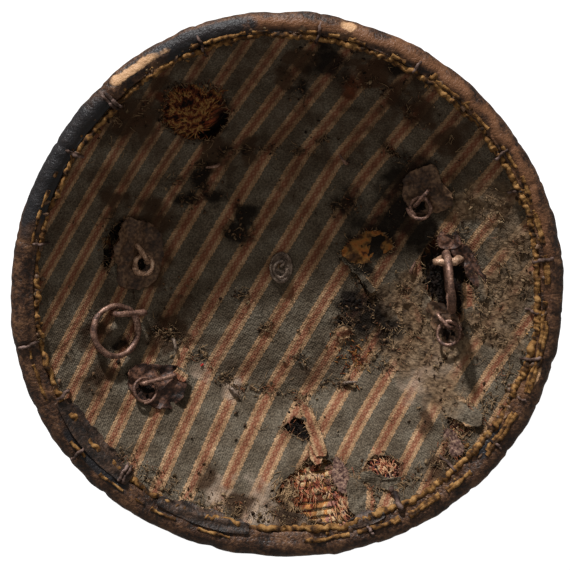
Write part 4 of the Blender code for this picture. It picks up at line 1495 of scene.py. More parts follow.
# Thongs over the rim: direction, inner and outer radius, slant and thickness
STITCHES = (
    (169.8, 166.7, 178.5, 0.4, 1.0), (147.4, 167.6, 181.3, 0.4, 1.0), (132.3, 169.6, 185.3, 0.3, 1.3),
    (109.0, 168.8, 184.7, 0.2, 1.0), (82.7, 169.5, 185.2, -0.3, 1.0), (59.5, 171.9, 183.3, -0.4, 1.0),
    (31.4, 168.6, 180.3, 1.0, 1.0), (22.1, 166.2, 175.5, -0.6, 0.9), (5.4, 170.4, 184.2, 0.6, 1.2),
    (-6.7, 165.9, 174.6, -0.4, 1.0), (-17.2, 168.5, 182.0, 2.0, 1.1), (-26.4, 175.1, 181.8, 0.0, 0.8),
    (-37.7, 174.4, 184.2, 0.0, 1.0), (-48.4, 160.1, 173.4, 0.8, 1.1), (-63.0, 159.9, 174.2, 0.0, 2.0),
    (-71.2, 176.0, 182.0, 0.5, 1.0), (-130.7, 164.2, 175.9, 0.4, 1.3), (-141.0, 177.0, 188.1, 0.3, 1.2),
    (-153.7, 164.7, 173.7, 0.5, 1.2), (-167.2, 173.6, 187.7, 0.4, 1.1),
)
# Lengths of the crest's cord: first and last direction, turn about the wall's edge
CREST_LENGTHS = (
    (-86, -50, -4), (-66, -8, 6), (-40, 22, -8), (-2, 34, 2), (38, 66, -8), (70, 88, -4),
    (94, 112, -9), (152, 170, 4), (194, 208, 12), (216, 232, 12), (232, 262, 2),
)
STRIPS = {
    "lower_left": (-152.5, -128.5, 163.9, 177.0),
    "bottom": (-120.5, -98.5, 166.0, 176.5),
    "lower_right": (-76.0, -67.0, 167.0, 175.5),
}


@dataclass
class Rim:
    """Leather folded over the edge, the yellow cords on it, and the thongs that hold it."""

    finishes: Finishes
    steps: int = 720
    cord_steps: int = 1920
    crest: float = 182.0
    doubled: tuple = (3, 17)
    grey: tuple = ((150.0, 17.0), (108.0, 11.0), (-38.0, 5.0), (-138.0, 10.0))
    bare: tuple = ((124.0, 6.5, 181.0), (78.0, 3.0, 182.0), (-20.0, 1.0, 184.0))
    plump_at: tuple = (-180, -130, -100, -80, -40, 0, 20, 60, 80, 100, 120, 135, 150, 180)
    plump_is: tuple = (0.3, 0.2, 0.3, 0.8, 1.0, 0.9, 0.6, 0.7, 0.4, 0.5, 0.6, 0.2, 0.35, 0.3)
    # Painted light on the crest: how much it shows in each direction, most on the side towards the light
    painted_light_at: tuple = (-180, -100, -60, -15, 20, 100, 120, 180)
    painted_light_is: tuple = (0.3, 0.3, 0.35, 0.5, 0.95, 0.95, 0.25, 0.3)

    def build(self) -> None:
        """All pieces of the rim."""
        self.leather()
        self.inner_cord()
        self.crest_cords()
        for number, stitch in enumerate(STITCHES, start=1):
            self.stitch(number, *stitch)
        for name, strip in STRIPS.items():
            self.strip(name, *strip)

    def keys(self, angle: float) -> Array:
        """Corners of the leather's section in one direction."""
        edge = float(DISH.cord_at(angle)) + 1.8
        # Up from the lining, over the fold, round the back edge, and back along the wall
        rows = [(edge, 0.3), (edge + 0.3, 2.4), (edge + 1.6, 3.2)]
        over = (-12.0, 5.0, 25.0, 45.0, 68.0, 90.0, 112.0, 135.0, 155.0, 172.0)
        back = [(174.5, -11.9), (174.2, -10.8), (174.5, -9.8)]
        places = [DISH.section(*row) for row in rows]
        places += [DISH.about_edge(DISH.fold, turn) for turn in over]
        places += [DISH.section(*row) for row in back]
        places += [DISH.about_edge(4.4, turn) for turn in (180.0, 120.0, 60.0, 0.0)]
        return np.array([*places, DISH.section(178.2, 0.3)])

    def leather(self) -> None:
        """The folded leather with its lumps, dents and creases."""
        angles = TAU * np.arange(self.steps) / self.steps
        sections = np.stack([smooth_line(self.keys(angle), 2, closed=True) for angle in angles])
        obj = turned("rim_cowhide_fold", DISH.around(sections, angles[:, None]))
        points = points_of(obj)
        degrees = np.degrees(polar(points)[1])
        swell = 0.65 * lumps(points, 15, 61) + 0.42 * lumps(points, 6, 62) + 0.18 * lumps(points, 2.6, 63)
        for at, *_ends, wire in STITCHES:
            gap = (degrees - at + 180) % 360 - 180
            swell = swell - 0.9 * wire * fade(gap, 0.5 * wire)
        # The hidden side stays plain: the middle of the upper side is the section's point 14
        outer = np.clip(1 - np.abs(row_of(obj) - 14) / 14, 0, 1) ** 0.5
        place_points(obj, points + normals_of(obj) * (swell * outer)[:, None])
        colour_map(obj, "Zones", self.wear(points))
        settle(obj, "rim_leather", self.finishes["rim_cowhide"], "rim_leather", smooth=70)

    def wear(self, points: Array) -> Array:
        """How blackened and how bare the leather is, and how pale its crest: rubbed, with painted light
        where the key light falls on it.
        """
        reach, angle = polar(points)
        degrees = np.degrees(angle) + 2.0 * lumps(points, 8, 64)
        grey = np.max([fade(degrees - middle, half, 6) for middle, half in self.grey], 0)
        grey = grey * np.clip((187 - reach) / 3, 0, 1)
        ragged = reach - 0.8 * lumps(points, 3, 66)
        bare = [
            fade(degrees - middle, half, 4) * fade(ragged - at, 3.4, 4)
            for middle, half, at in self.bare
        ]
        # Painted light: the crest is paler on the side towards the light, over a band of rubbed wear
        painted_light = np.interp(degrees, self.painted_light_at, self.painted_light_is)
        crest = np.abs(reach - 179.5 - 2.5 * lumps(points, 9, 67))
        rubbed_and_lit = np.clip(1.25 - crest / 6, 0, 1) * painted_light
        return np.stack([grey, np.max(bare, 0), rubbed_and_lit], -1)

    def plump(self, angles: Array) -> Array:
        """How thick and how well kept the cords are in a direction, from 0 to 1."""
        degrees = (np.degrees(angles) + 180) % 360 - 180
        return np.interp(degrees, self.plump_at, self.plump_is)

    @staticmethod
    def run(angles: Array, radius: float) -> Array:
        """Plan points along a circle."""
        return np.stack([np.cos(angles), np.sin(angles)], -1) * radius

    def beads(self, angles: Array, radius: Array, lift: float, size: float) -> Array:
        """Rings of points of a two-ply twisted cord, sunk into the dirt where it is worn.

        Args:
            angles: Directions, one a ring.
            radius: Radius of the cord's line in the round dish.
            lift: Height of its middle over the face.
            size: Its radius.

        Returns:
            Places, ring by side.
        """
        run = self.run(angles, DISH.cord_radius)
        plump = self.plump(angles)
        phase = np.pi * angles * DISH.cord_radius / 3.9 + 3.0 * lumps(run, 13, 74)
        plies = (0.1 + 0.14 * plump) * np.abs(np.sin(phase))
        swell = size * (0.62 + 0.2 * plump + plies + 0.2 * lumps(run, 6, 71))
        sunk = np.clip(lumps(run, 13, 75) + 0.25 - 0.8 * plump, 0, 1) * 3.2
        side = TAU * np.arange(8) / 8
        height = lift + 0.3 * np.sin(phase) + 0.4 * lumps(run, 12, 72) - sunk
        rise = height[:, None] + swell[:, None] * np.sin(side)
        go = 0.5 * np.cos(phase)[:, None] + swell[:, None] * np.cos(side)
        flat = DISH.section(radius[:, None], rise, go)
        return DISH.around(flat, angles[:, None])

    def inner_cord(self) -> None:
        """The yellow cord in the corner between leather and lining."""
        angles = TAU * np.arange(self.cord_steps) / self.cord_steps
        run = self.run(angles, DISH.cord_radius)
        wander = 0.9 * lumps(run, 20, 73) + 0.5 * lumps(run, 7, 76)
        radius = DISH.cord_at(angles) + wander + 1.6 * self.plump(angles)
        obj = turned("rim_yellow_cord", self.beads(angles, radius, 2.9, 2.6))
        settle(obj, "cord", self.finishes["gilt_yellow_cord"], "rim_cord", smooth=80)

    def crest_cords(self) -> None:
        """The second yellow cord, left in lengths on the crest of the fold."""
        strands = []
        for start, end, turn in CREST_LENGTHS:
            angles = np.radians(np.arange(start, end, 0.35))
            run = self.run(angles, self.crest)
            turns = turn + 5 * lumps(run, 18, 77) + 3 * lumps(run, 6, 78)
            line = np.stack([DISH.about_edge(DISH.fold, float(value)) for value in turns])
            places = DISH.around(line, angles)
            phase = np.pi * angles * self.crest / 3.8 + 2.0 * lumps(run, 10, 79)
            size = 1.05 + 1.0 * self.plump(angles)
            shape = 0.7 + 0.25 * np.abs(np.sin(phase)) + 0.25 * lumps(run, 5, 80)
            kept = lumps(run, 9, 81) > -0.4
            cuts = np.flatnonzero(np.diff(kept.astype(int))) + 1
            for piece in np.split(np.arange(len(angles)), cuts):
                if kept[piece[0]] and len(piece) > 3:
                    strands.append(Strand(places[piece], size[piece] * np.maximum(0.35, shape[piece])))
        obj = drawn("rim_crest_cord", strands, 1)
        settle(obj, "cord", self.finishes["gilt_yellow_cord"], smooth=80)

    def stitch(
        self, number: int, degrees: float, low: float, high: float, drift: float, wire: float
    ) -> None:
        """One thong over the rim.

        Args:
            number: Its number among the stitches.
            degrees: Its direction.
            low: Radius of its inner end.
            high: Radius of its outer end.
            drift: How far it slants, in degrees.
            wire: Its radius.
        """
        angle = math.radians(degrees)
        under = any(start - 3 < degrees < end + 3 for start, end, _, _ in STRIPS.values())
        flat = DISH.over_rim_between(angle, low, high, wire * 0.8 + (1.6 if under else 0.2), 22)
        share = np.linspace(-0.5, 0.5, len(flat))
        twist = np.sin(share * 9 + number)
        heights = flat[:, 1] + 0.5 * np.sin(share * 16 + number) * wire
        heights = heights - 1.6 * np.abs(2 * share) ** 8
        turn = angle + math.radians(drift) * share + 0.0022 * twist
        line = DISH.around(np.stack([flat[:, 0], heights], -1), turn)
        radius = wire * (1.05 - 0.35 * np.abs(2 * share) ** 4 + 0.14 * np.sin(share * 31 + number))
        strands = [Strand(line, radius)]
        if number in self.doubled:
            beside = np.array([-math.sin(angle), math.cos(angle), 0]) * 2.1 * wire
            strands.append(Strand(line + beside, radius * 0.8))
        obj = drawn(f"thong_{number:02d}", strands, 3, dents=(0.22, 1.4, 80 + number))
        settle(obj, "thong", self.finishes["rawhide_thong"], f"rim_stitch_{number:02d}", smooth=80)

    def strip(self, name: str, start: float, end: float, low: float, high: float) -> None:
        """One torn leather strip over the cord.

        Args:
            name: Its place.
            start: Direction where it starts, in degrees.
            end: Direction where it ends.
            low: Its inner radius.
            high: Its outer radius.
        """
        rows = []
        across = np.arange(12)
        for share in np.linspace(0, 1, round((end - start) * 2.2) + 1):
            degrees = start + (end - start) * share
            narrow = 1 - max(0.0, math.sin(math.pi * share)) ** 0.5
            ragged = 0.8 * math.sin(degrees * 0.9) + 0.4 * math.sin(degrees * 2.7)
            ends = (low + 4.0 * narrow + ragged, high - 2.0 * narrow)
            flat = DISH.over_rim_between(math.radians(degrees), *ends, 1.3, len(across))
            curled = 0.9 * np.exp(-across) * math.sin(degrees)
            flat[:, 1] += 0.4 * np.sin(across * 0.7 + degrees * 0.3) + curled
            rows.append(DISH.around(flat, math.radians(degrees)))
        obj = gridded(f"strip_{name}", np.stack(rows), 1.1)
        hammered(obj, 0.3, 5.0, 90)
        settle(obj, "patch_leather", self.finishes["strip_leather"], f"edge_strip_{name}", smooth=70)


@dataclass
class Debris:
    """What age has left on the dish: felted crumbs, lint, hairs and bits of the gold cord, and near-black
    lumps that are painted shade.
    """

    finishes: Finishes
    ridge: tuple = (-158.0, -18.0, 88.0)
    worn: tuple = (
        (Wear.FELT, 900, 0.35), (Wear.DIRT, 520, 0.95), (Wear.SOOT, 450, 1.0), (Wear.STAIN, 300, 0.8),
    )
    # Near-black lumps that are painted shade, round four staple feet and down in the openings: plan x, plan
    # y, spread and height
    hollows: tuple = (
        (-100, 9, 2, 2.0), (96, 49, 2, 2.0), (-98, -79, 2, 2.0), (117, -40, 2, 2.0),
        (108, 8, 3, -0.6), (108, -4, 3, -0.6), (113, -16, 4, -0.6), (127, 6, 3, -0.6),
        (127, -8, 3, -0.6), (123, -18, 4, -0.6), (6, -108, 3, -0.6), (17, -113, 3, -0.6),
        (-122, 16, 2, -0.6), (-115, 33, 3, -0.6), (60, -14, 3, -0.4), (61, -26, 4, 0.4),
        (44, -38, 3, 0.0), (48, -22, 3, 0.3),
    )

    def build(self) -> None:
        """All loose bits, grouped by what they are."""
        rng = np.random.default_rng(21)
        dark, pale = self.places(rng)
        # Near-black lumps where there is only shade
        rows = np.repeat(np.array(self.hollows), 70, 0)
        plan = rows[:, :2] + rng.normal(0, 1, (len(rows), 2)) * rows[:, 2:3]
        centres = DISH.on_face(plan, rows[:, 3])
        shaded = scattered("sooty_litter", centres, rng.uniform(0.5, 1.6, len(rows)), 35, 0.6)
        settle(shaded, "patch_leather", self.finishes["shade_black_lumps"])
        self.heap("felted_crumbs", dark, rng, 1.3)
        self.heap("pale_lint", pale, rng, 1.4)
        self.gold(rng)
        self.hairs(rng, pale, dark)
        knot = DISH.on_face([[-58.0, -66.0], [-57.2, -65.4]], [1.6, 1.9])
        obj = scattered("red_silk_knot", knot, np.array([1.5, 1.0]), 5)
        settle(obj, "lining_cloth", self.finishes["red_silk"])
        worm = smooth_line(((43.5, -76.8), (48.3, -80.7), (51.8, -82.5)), 5)
        size = 1.5 * np.sin(np.linspace(0.5, 2.7, len(worm)))
        obj = drawn("cast_skin", [Strand(DISH.on_face(worm, 1.5), size)], 3)
        settle(obj, "lining_cloth", self.finishes["pale_lint"], smooth=80)

    def places(self, rng: np.random.Generator) -> tuple[Array, Array]:
        """Plan places of the dark crumbs and of the pale lint."""
        dark, pale = [], []
        for spot in SNAGS:
            dark.append(spot + rng.normal(0, 1, (18, 2)) * (3.6, 1.8))
            if spot[1] < -10:
                pale.append(spot + rng.normal(0, 1, (8, 2)) * (5.0, 3.0))
        start, end, radius = self.ridge
        angle = np.radians(rng.uniform(start, end, 170))
        wander = 2.5 * lumps(np.stack([angle * radius, 0 * angle], -1), 14, 90)
        ridge = Rim.run(angle, (radius + wander + rng.normal(0, 1.3, 170))[:, None])
        dark.append(ridge[:80])
        pale.append(ridge[80:])
        for wear, count, share in self.worn:
            x, y, radius = np.array(wear.value)[rng.integers(0, len(wear.value), count)].T
            spots = np.stack([x, y], -1) + rng.normal(0, 0.62, (count, 2)) * radius[:, None]
            spots = spots[lumps(spots, 7, 91) > -0.1]
            cut = int(len(spots) * share)
            dark.append(spots[:cut])
            pale.append(spots[cut:])
        # Dust that has slid down to the lower rim
        angle = np.radians(rng.uniform(-135, -20, 700))
        low = Rim.run(angle, (170 - np.abs(rng.normal(0, 5.5, 700)))[:, None])
        dark.append(low[:60])
        pale.append(low[260:])
        for outline in OPENINGS.values():
            rim = smooth_line(outline, 8, closed=True)
            dark.append(rim + rng.normal(0, 1.2, rim.shape))
        everywhere = rng.uniform(-165, 165, (330, 2))
        pale.append(everywhere[:110])
        dark.append(everywhere[110:])
        return np.vstack(dark), np.vstack(pale)

    def kept(self, plan: Array) -> Array:
        """The plan places that lie on the cloth, inside the cord and off the openings."""
        reach, angle = polar(plan)
        within = DISH.drawn_back(reach, angle) < DISH.cord_at(angle) - 2.5
        for name in ("bottom", "upper_left", "right_main", "lower_right"):
            within &= ~inside(plan, OPENINGS[name] * 0.985)
        return plan[within]

    def heap(self, name: str, plan: Array, rng: np.random.Generator, largest: float) -> None:
        """One mesh of crumbs, named for its finish.

        Args:
            name: Name of the piece.
            plan: Places in plan.
            rng: Source of chance.
            largest: Largest radius of a crumb.
        """
        plan = self.kept(plan)
        radius = 0.3 + (largest - 0.3) * rng.uniform(0, 1, len(plan)) ** 2
        obj = scattered(name, DISH.on_face(plan, 0.4 + 0.3 * radius), radius, 31, 0.6)
        settle(obj, "lining_cloth", self.finishes[name], smooth=70)

    def gold(self, rng: np.random.Generator) -> None:
        """Broken nuggets of the gold cord and dark bits of leather between them."""
        rim = Rim(self.finishes)
        for name, count, slot, finish, low, high in (
            ("gold_cord_nuggets", 420, "cord", "gilt_yellow_cord", 0.6, 2.3),
            ("rim_leather_bits", 520, "patch_leather", "patch_goatskin", 0.8, 2.8),
            ("rim_lint", 420, "patch_leather", "pale_lint", 0.4, 1.5),
        ):
            centres = []
            for angle in rng.uniform(-math.pi, math.pi, count):
                if rng.random() > rim.plump(angle) ** 1.5 + 0.06:
                    continue
                radius = float(DISH.cord_at(angle)) + rng.uniform(-4.0, 5.5)
                flat = DISH.over_rim_between(angle, radius - 0.1, radius + 0.1, -0.5, 2)[0]
                centres.append(DISH.around(flat, angle))
            sizes = low + (high - low) * rng.uniform(0, 1, len(centres)) ** 1.6
            obj = scattered(name, np.array(centres), sizes, 33, 0.65)
            settle(obj, slot, self.finishes[finish], smooth=70)

    def hairs(self, rng: np.random.Generator, pale: Array, dark: Array) -> None:
        """Fine loose fibres lying across the crumbs."""
        share = np.linspace(0, 1, 5)
        for name, plan, finish, count in (
            ("pale_hairs", pale, "frayed_thread", 900),
            ("dark_hairs", dark, "felted_crumbs", 700),
        ):
            spots = self.kept(plan)
            strands = []
            for spot in spots[rng.integers(0, len(spots), count)]:
                way = heading(math.degrees(rng.uniform(0, TAU)))
                bend = np.array([-way[1], way[0]]) * rng.normal(0, 0.5)
                length = rng.uniform(2.0, 7.0)
                line = spot + np.outer(share * length, way) + np.outer(share**2 * length, bend)
                rise = 0.5 + 1.6 * rng.random() * np.sin(share * 2.6)
                strands.append(Strand(DISH.on_face(line, rise), 0.19 * (1.1 - 0.6 * share)))
            settle(drawn(name, strands, 0), "lining_cloth", self.finishes[finish])


@dataclass
class Fitting:
    """One iron staple with its ring, and the leather patch under it."""

    finishes: Finishes
    name: str
    feet: tuple
    crown: float
    bar: float
    share: float
    radius: float
    wire: float
    heading: float
    rise: float
    roll: float
    lift: float
    lap_from: float = 0.0
    lap: float = 0.0
    spread: float = 0.0
    patch: Plan = ()
    upturned: tuple = (0.0, 0.0, 1.0, 0.0)

    def build(self) -> None:
        """Staple, ring and patch."""
        self.staple()
        self.ring()
        if self.patch:
            self.leather_patch()

    def staple(self) -> None:
        """A bent bar whose legs go through the bowl and are clenched behind it."""
        feet = np.array(self.feet)
        middle = feet.mean(0)
        left, right = DISH.on_face(feet)
        normal = DISH.normal(*middle)
        along = (right - left) / np.linalg.norm(right - left)
        uphill = np.array([*middle, 0.0])
        uphill = uphill - normal * (uphill @ normal)
        clench = uphill / np.linalg.norm(uphill) * 6.0
        back = -9.8 - self.bar - 0.3
        # One leg from its clenched end up to the crown: height, share of the clench, step inwards
        leg = ((back - 0.3, 1.0, 0.0), (back, 0.25, 0.0), (back + 1.6, 0.0, 0.0))
        leg += ((self.crown - 4.2, 0.0, 0.0), (self.crown - 1.0, 0.0, 0.7), (self.crown, 0.0, 2.6))
        keys = [left + normal * rise + clench * bent + along * inward for rise, bent, inward in leg]
        keys += [right + normal * rise + clench * bent - along * inward for rise, bent, inward in leg[::-1]]
        line = smooth_line(keys, 6)
        strand = Strand(line, self.bar * (1 + 0.1 * lumps(line, 5, 5)))
        obj = drawn(f"staple_bar_{self.name}", [strand], 4, dents=(0.16 * self.bar, 2.5, 101))
        kind = "worn_bright_iron" if self.name in ("left_upper", "right_main") else "rusted_forged_iron"
        settle(obj, "iron", self.finishes[kind], f"staple_{self.name}", smooth=80)

    def ring(self) -> None:
        """A ring of round bar; where it laps, its ends lie beside each other."""
        first, second = np.array(self.feet)
        start = DISH.on_face(first + (second - first) * self.share, self.lift + self.wire)
        rise, roll = math.radians(self.rise), math.radians(self.roll)
        level = np.array([*heading(self.heading), 0.0])
        outward = level * math.cos(rise) + np.array([0, 0, math.sin(rise)])
        side = np.array([-level[1], level[0], 0.0])
        across = side * math.cos(roll) + np.cross(outward, side) * math.sin(roll)
        lapped = self.lap > 0
        turns = np.radians(np.linspace(self.lap_from, self.lap_from + 360 + self.lap, 97))
        turns = turns if lapped else turns[:-1]
        share = np.linspace(-1, 1, len(turns))
        spread = self.radius + lapped * self.spread * np.sign(share) * np.abs(share) ** 6
        spread = spread * (1 + 0.012 * np.sin(3 * turns + 1) + 0.015 * np.cos(2 * turns))
        line = start + outward * self.radius
        line = line - np.outer(spread * np.cos(turns), outward) + np.outer(spread * np.sin(turns), across)
        size = self.wire * (1 + 0.1 * np.sin(turns * 2 + 0.6) + 0.05 * np.sin(turns * 5))
        if lapped:
            line = line + np.outer(self.wire * 0.7 * share**5, np.cross(outward, across))
            size = size * (1 - 0.25 * np.abs(share) ** 16)
        strand = Strand(line, size, closed=not lapped)
        obj = drawn(f"iron_ring_{self.name}", [strand], 4, dents=(0.12 * self.wire, 3.0, 103))
        kind = "worn_bright_iron" if self.name == "left_upper" else "rusted_forged_iron"
        settle(obj, "iron", self.finishes[kind], f"ring_{self.name}", smooth=80)

    def leather_patch(self) -> None:
        """A shrunken, crumpled leather patch with its edge curled up."""

        def lift(plan: Array, share: Array) -> Array:
            """Creases all over, the edge up where it has come loose."""
            x, y, reach, rise = self.upturned
            creases = 0.9 * lumps(plan, 8, 114) + 0.25 * lumps(plan, 3, 116)
            creases = creases + 0.8 * (1 - 2.4 * np.abs(lumps(plan, 8, 115)))
            curl = np.clip(lumps(plan, 11, 113) + 0.3, 0, 1.2) * share**5
            loose = rise * fade(away(plan, x, y), reach)
            return 1.6 + creases * (0.5 + 0.5 * share) + 1.6 * curl + loose

        obj = flap(f"goatskin_patch_{self.name}", self.patch, lift, 1.1)
        kind = "rolled_leather" if self.name == "left_lower" else "patch_goatskin"
        settle(obj, "patch_leather", self.finishes[kind], f"patch_{self.name}", smooth=70)


# Staples, rings and patches, with a fitting's values in their order
FITTINGS = (
    ("left_upper", ((-105, 23.6), (-97.5, 10.6)), 7.4, 1.7,
     0.62, 6.4, 1.9, -84, 10, -14, 2.25, 240, 25, 1.1,
     ((-112.5, 41.5), (-100, 41), (-88, 33), (-85, 18), (-87.5, 3),
      (-94, -6), (-106, -8.5), (-116, -3), (-117, 9), (-121, 22))),
    ("left_main", ((-119.8, -24.4), (-100.6, -25.2)), 8.6, 2,
     0.6, 17.4, 2.2, -133, 28, -14, 0.95, 0, 0, 0, ()),
    ("left_lower", ((-101, -75.2), (-78.4, -71.6)), 6.6, 1.6,
     0.34, 8.5, 1.1, -135, 31, -6, 2, 110, 35, 1.2,
     ((-107, -63), (-88, -63), (-72.5, -68.5), (-71, -84), (-81, -93), (-96, -89), (-109, -77))),
    ("right_upper", ((101.6, 61.6), (94, 51)), 7.8, 1.4,
     0.5, 7.4, 1.3, -100, -2, 16, 2.25, 200, 60, 1.9,
     ((86.5, 72), (102.5, 80), (110, 69), (119, 55), (106, 44.5), (91, 45), (84.5, 57))),
    ("right_main", ((111.6, 12.4), (124, 13.2)), 14.2, 2.6,
     0.39, 19.3, 2.65, -87, 49, 93.5, 4.95, 0, 0, 0, ()),
    ("right_lower", ((110.6, -27.4), (119, -36.6)), 7.4, 1.3,
     0.6, 8.2, 1.3, -80, 25, 14, 2.25, 60, 30, 1.2,
     ((103, -21), (113, -20.5), (124.5, -31), (125, -44), (113.5, -46), (104.5, -35))),
)
# Where each patch has come loose: plan place, reach and rise
UPTURNED = {
    "left_upper": (-117.0, 27.0, 13.0, 6.5), "left_lower": (-73.0, -76.0, 9.0, 4.0),
    "right_upper": (117.0, 57.0, 9.0, 3.0), "right_lower": (105.0, -22.0, 7.0, 2.5),
}


@dataclass
class Centre:
    """The oval washer and the eye pin in the middle of the floor."""

    finishes: Finishes
    at: tuple[float, float] = (-1.2, 4.5)
    half: tuple[float, float] = (8.2, 11.2)
    hole: float = 2.6
    wire: float = 1.2
    steps: int = 48

    def build(self) -> None:
        """Both pieces."""
        turn = TAU * np.arange(self.steps)[:, None] / self.steps
        # From the hole to the rolled rim and back underneath
        share = np.array([0.0, 0.06, 0.3, 0.6, 0.76, 0.88, 1.0, 1.02, 0.9, 0.1, 0.0])
        lift = np.array([0.5, 0.9, 1.0, 1.0, 2.1, 2.4, 1.9, 0.6, 0.3, 0.3, 0.4])
        wide, long = (self.hole + (half - self.hole) * share for half in self.half)
        x = self.at[0] + wide * np.cos(turn)
        y = self.at[1] - share + long * np.sin(turn)
        obj = turned("iron_washer", DISH.on_face(np.stack([x, y], -1), lift))
        hammered(obj, 0.3, 3.0, 120)
        settle(obj, "iron", self.finishes["bare_forged_iron"], "centre_washer", smooth=70)
        foot = DISH.on_face(self.at)
        # Bent over behind the wall, then straight up through it
        keys = [foot + key for key in ((0, 7, -11), (0, 1.2, -11), (0, 0, -9.6), (0, 0, 2))]
        eye = foot + np.array([-0.4, -3.4, 0.0])
        for degrees in range(60, 371, 31):
            angle = math.radians(degrees)
            rise = 3.3 + 1.2 * (degrees - 60) / 310
            keys.append(eye + np.array([math.cos(angle) * 4.5, 1.5 + math.sin(angle) * 5.6, rise]))
        line = smooth_line(keys, 5)
        strand = Strand(line, self.wire * (1 + 0.1 * lumps(line, 4, 5)))
        pin = drawn("iron_eye_pin", [strand], 4, dents=(0.15, 2.0, 121))
        settle(pin, "iron", self.finishes["bare_forged_iron"], "centre_pin", smooth=80)


@dataclass
class Boss:
    """The iron plate on the back with the nails that hold it."""

    finishes: Finishes
    nails: tuple = (-149.0, -114.4, -61.3, 0.0, 60.0, 120.0)
    steps: int = 96

    def build(self) -> None:
        """Plate and nails."""
        angles = TAU * np.arange(self.steps) / self.steps
        outside = [(0, 0), (15, 0), (28.5, 0.05), (32, 0.25), (47, 2), (61, 3.8), (64, 4.3)]
        hollow = [(61.5, 5.4), (47, 3.5), (29.5, 1.5), (15, 1.5), (0, 1.5)]
        flange = [(86.0, -11.5), (88.5, -11.5), (92.0, -11.5), (94.2, -11.5)]
        flange += [(95.0, -10.8), (95.0, -10.0), (92.0, -10.0), (88.5, -10.0)]
        section = np.vstack([outside, [DISH.section(*row) for row in flange], hollow])
        obj = turned("iron_boss_plate", DISH.around(section[None], angles[:, None]))
        points = points_of(obj)
        # The flat foot stays flat
        dents = 0.35 * lumps(points, 9, 130) * np.clip((polar(points)[0] - 30) / 6, 0, 1)
        place_points(obj, points + normals_of(obj) * dents[:, None])
        settle(obj, "iron", self.finishes["rusted_forged_iron"], "boss", smooth=40)
        for number, degrees in enumerate(self.nails, start=1):
            self.nail(number, degrees)

    def nail(self, number: int, degrees: float) -> None:
        """One nail, its head on the flange and its point bent over on the lining."""
        foot = DISH.around(DISH.section(91.0), math.radians(degrees))
        normal = DISH.normal(foot[0], foot[1])
        aside = np.array([*heading(degrees + 65), 0.0])
        aside = aside - normal * (aside @ normal)
        aside = aside / np.linalg.norm(aside)
        # Head, shank and bent point: height along the normal, step aside, radius
        keys = (
            (-14.3, 0.0, 0.6), (-14.0, 0.0, 2.4), (-13.2, 0.0, 3.7), (-12.4, 0.0, 4.1),
            (-12.0, 0.0, 3.6), (-11.9, 0.0, 1.35), (-6.0, 0.0, 1.35), (0.5, 0.0, 1.35),
            (2.1, 0.5, 1.35), (3.2, 2.2, 1.3), (3.1, 5.5, 1.1), (2.3, 9.4, 0.6),
        )
        line = smooth_line([foot + normal * rise + aside * step for rise, step, _ in keys], 4)
        share = np.linspace(0, len(keys) - 1, len(line))
        size = np.interp(share, np.arange(len(keys)), [radius for _, _, radius in keys])
        obj = drawn(f"iron_nail_{number}", [Strand(line, size)], 4, dents=(0.12, 2.0, 140 + number))
        kind = "bare_forged_iron" if degrees < 0 else "rusted_forged_iron"
        settle(obj, "iron", self.finishes[kind], f"boss_nail_{number}", smooth=60)


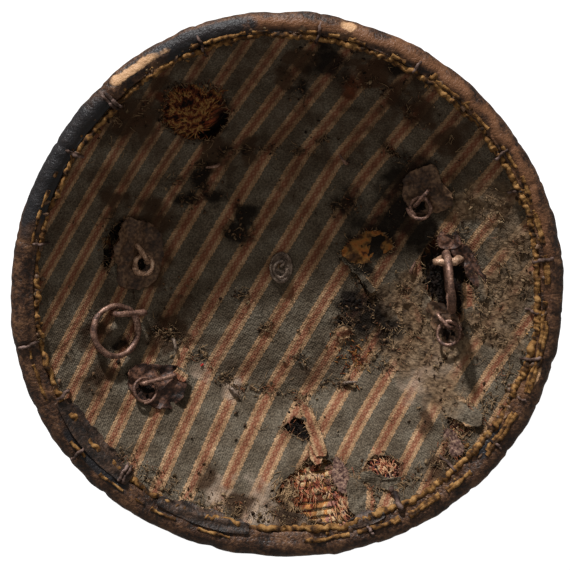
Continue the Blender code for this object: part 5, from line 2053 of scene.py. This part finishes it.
@dataclass
class Studio:
    """White table, soft key light from above the top edge, weak fill, and the camera."""

    finishes: Finishes
    distance: float = 1600.0
    width: float = 390.6
    sensor: float = 36.0
    tilt: tuple[float, float] = (2.4, 10.6)
    target: tuple[float, float, float] = (-2.61, 4.37, 70.5)
    sun_elevation: float = 16.0
    sun_from: float = 15.0

    def build(self) -> None:
        """Sets the whole stage."""
        deselect()
        bpy.ops.mesh.primitive_grid_add(x_subdivisions=2, y_subdivisions=2, size=8.0)
        floor = take_new("studio_table")
        floor.data.materials.append(self.finishes["studio_white"])
        floor.visible_diffuse = floor.visible_glossy = False
        self.lights()
        self.camera()
        scene = bpy.context.scene
        scene.view_settings.view_transform = "Standard"
        scene.view_settings.look = "None"

    def lights(self) -> None:
        """A soft key light and an even sky."""
        key = bpy.data.lights.new("key_light", "SUN")
        key.energy = 5.7
        key.angle = math.radians(4.0)
        lamp = bpy.data.objects.new("key_light", key)
        bpy.context.scene.collection.objects.link(lamp)
        rise, turn = math.radians(self.sun_elevation), math.radians(self.sun_from)
        level = math.cos(rise)
        towards = Vector((-math.sin(turn) * level, math.cos(turn) * level, math.sin(rise)))
        lamp.rotation_euler = towards.to_track_quat("Z", "Y").to_euler()
        world = bpy.data.worlds.new("studio")
        world.use_nodes = True
        bpy.context.scene.world = world
        back = world.node_tree.nodes["Background"]
        back.inputs["Color"].default_value = (1.0, 0.95, 0.89, 1.0)
        back.inputs["Strength"].default_value = 0.33

    def camera(self) -> None:
        """The camera over the open side, leaning a little up and to the left."""
        left, up = (math.tan(math.radians(angle)) for angle in self.tilt)
        towards = Vector((-left, up, 1.0)).normalized()
        target = Vector(self.target) * MM
        data = bpy.data.cameras.new("camera")
        data.sensor_width = self.sensor
        data.lens = self.sensor * self.distance / self.width
        data.clip_end = 50.0
        camera = bpy.data.objects.new("camera", data)
        bpy.context.scene.collection.objects.link(camera)
        right = Vector((0.0, 1.0, 0.0)).cross(towards).normalized()
        above = towards.cross(right)
        place = target + towards * self.distance * MM
        camera.matrix_world = Matrix((right, above, towards)).transposed().to_4x4()
        camera.matrix_world.translation = place
        bpy.context.scene.camera = camera


def main() -> None:
    """Builds the pieces in order."""
    logging.basicConfig(level=logging.INFO, format="%(message)s")
    finishes = Finishes()
    Studio(finishes).build()
    bowl = Bowl(finishes).build()
    lining = Lining(finishes)
    cloth = lining.build()
    rng = np.random.default_rng(7)
    frays = lining.frays(rng)
    lining.loose_silk(rng)
    lining.singed_fan(rng)
    flaps = lining.flaps()
    Debris(finishes).build()
    Rim(finishes).build()
    for name, feet, *numbers, patch in FITTINGS:
        loose = UPTURNED.get(name, (0.0, 0.0, 1.0, 0.0))
        Fitting(finishes, name, feet, *numbers, patch=patch, upturned=loose).build()
    Centre(finishes).build()
    Boss(finishes).build()


if __name__ == "__main__":
    main()
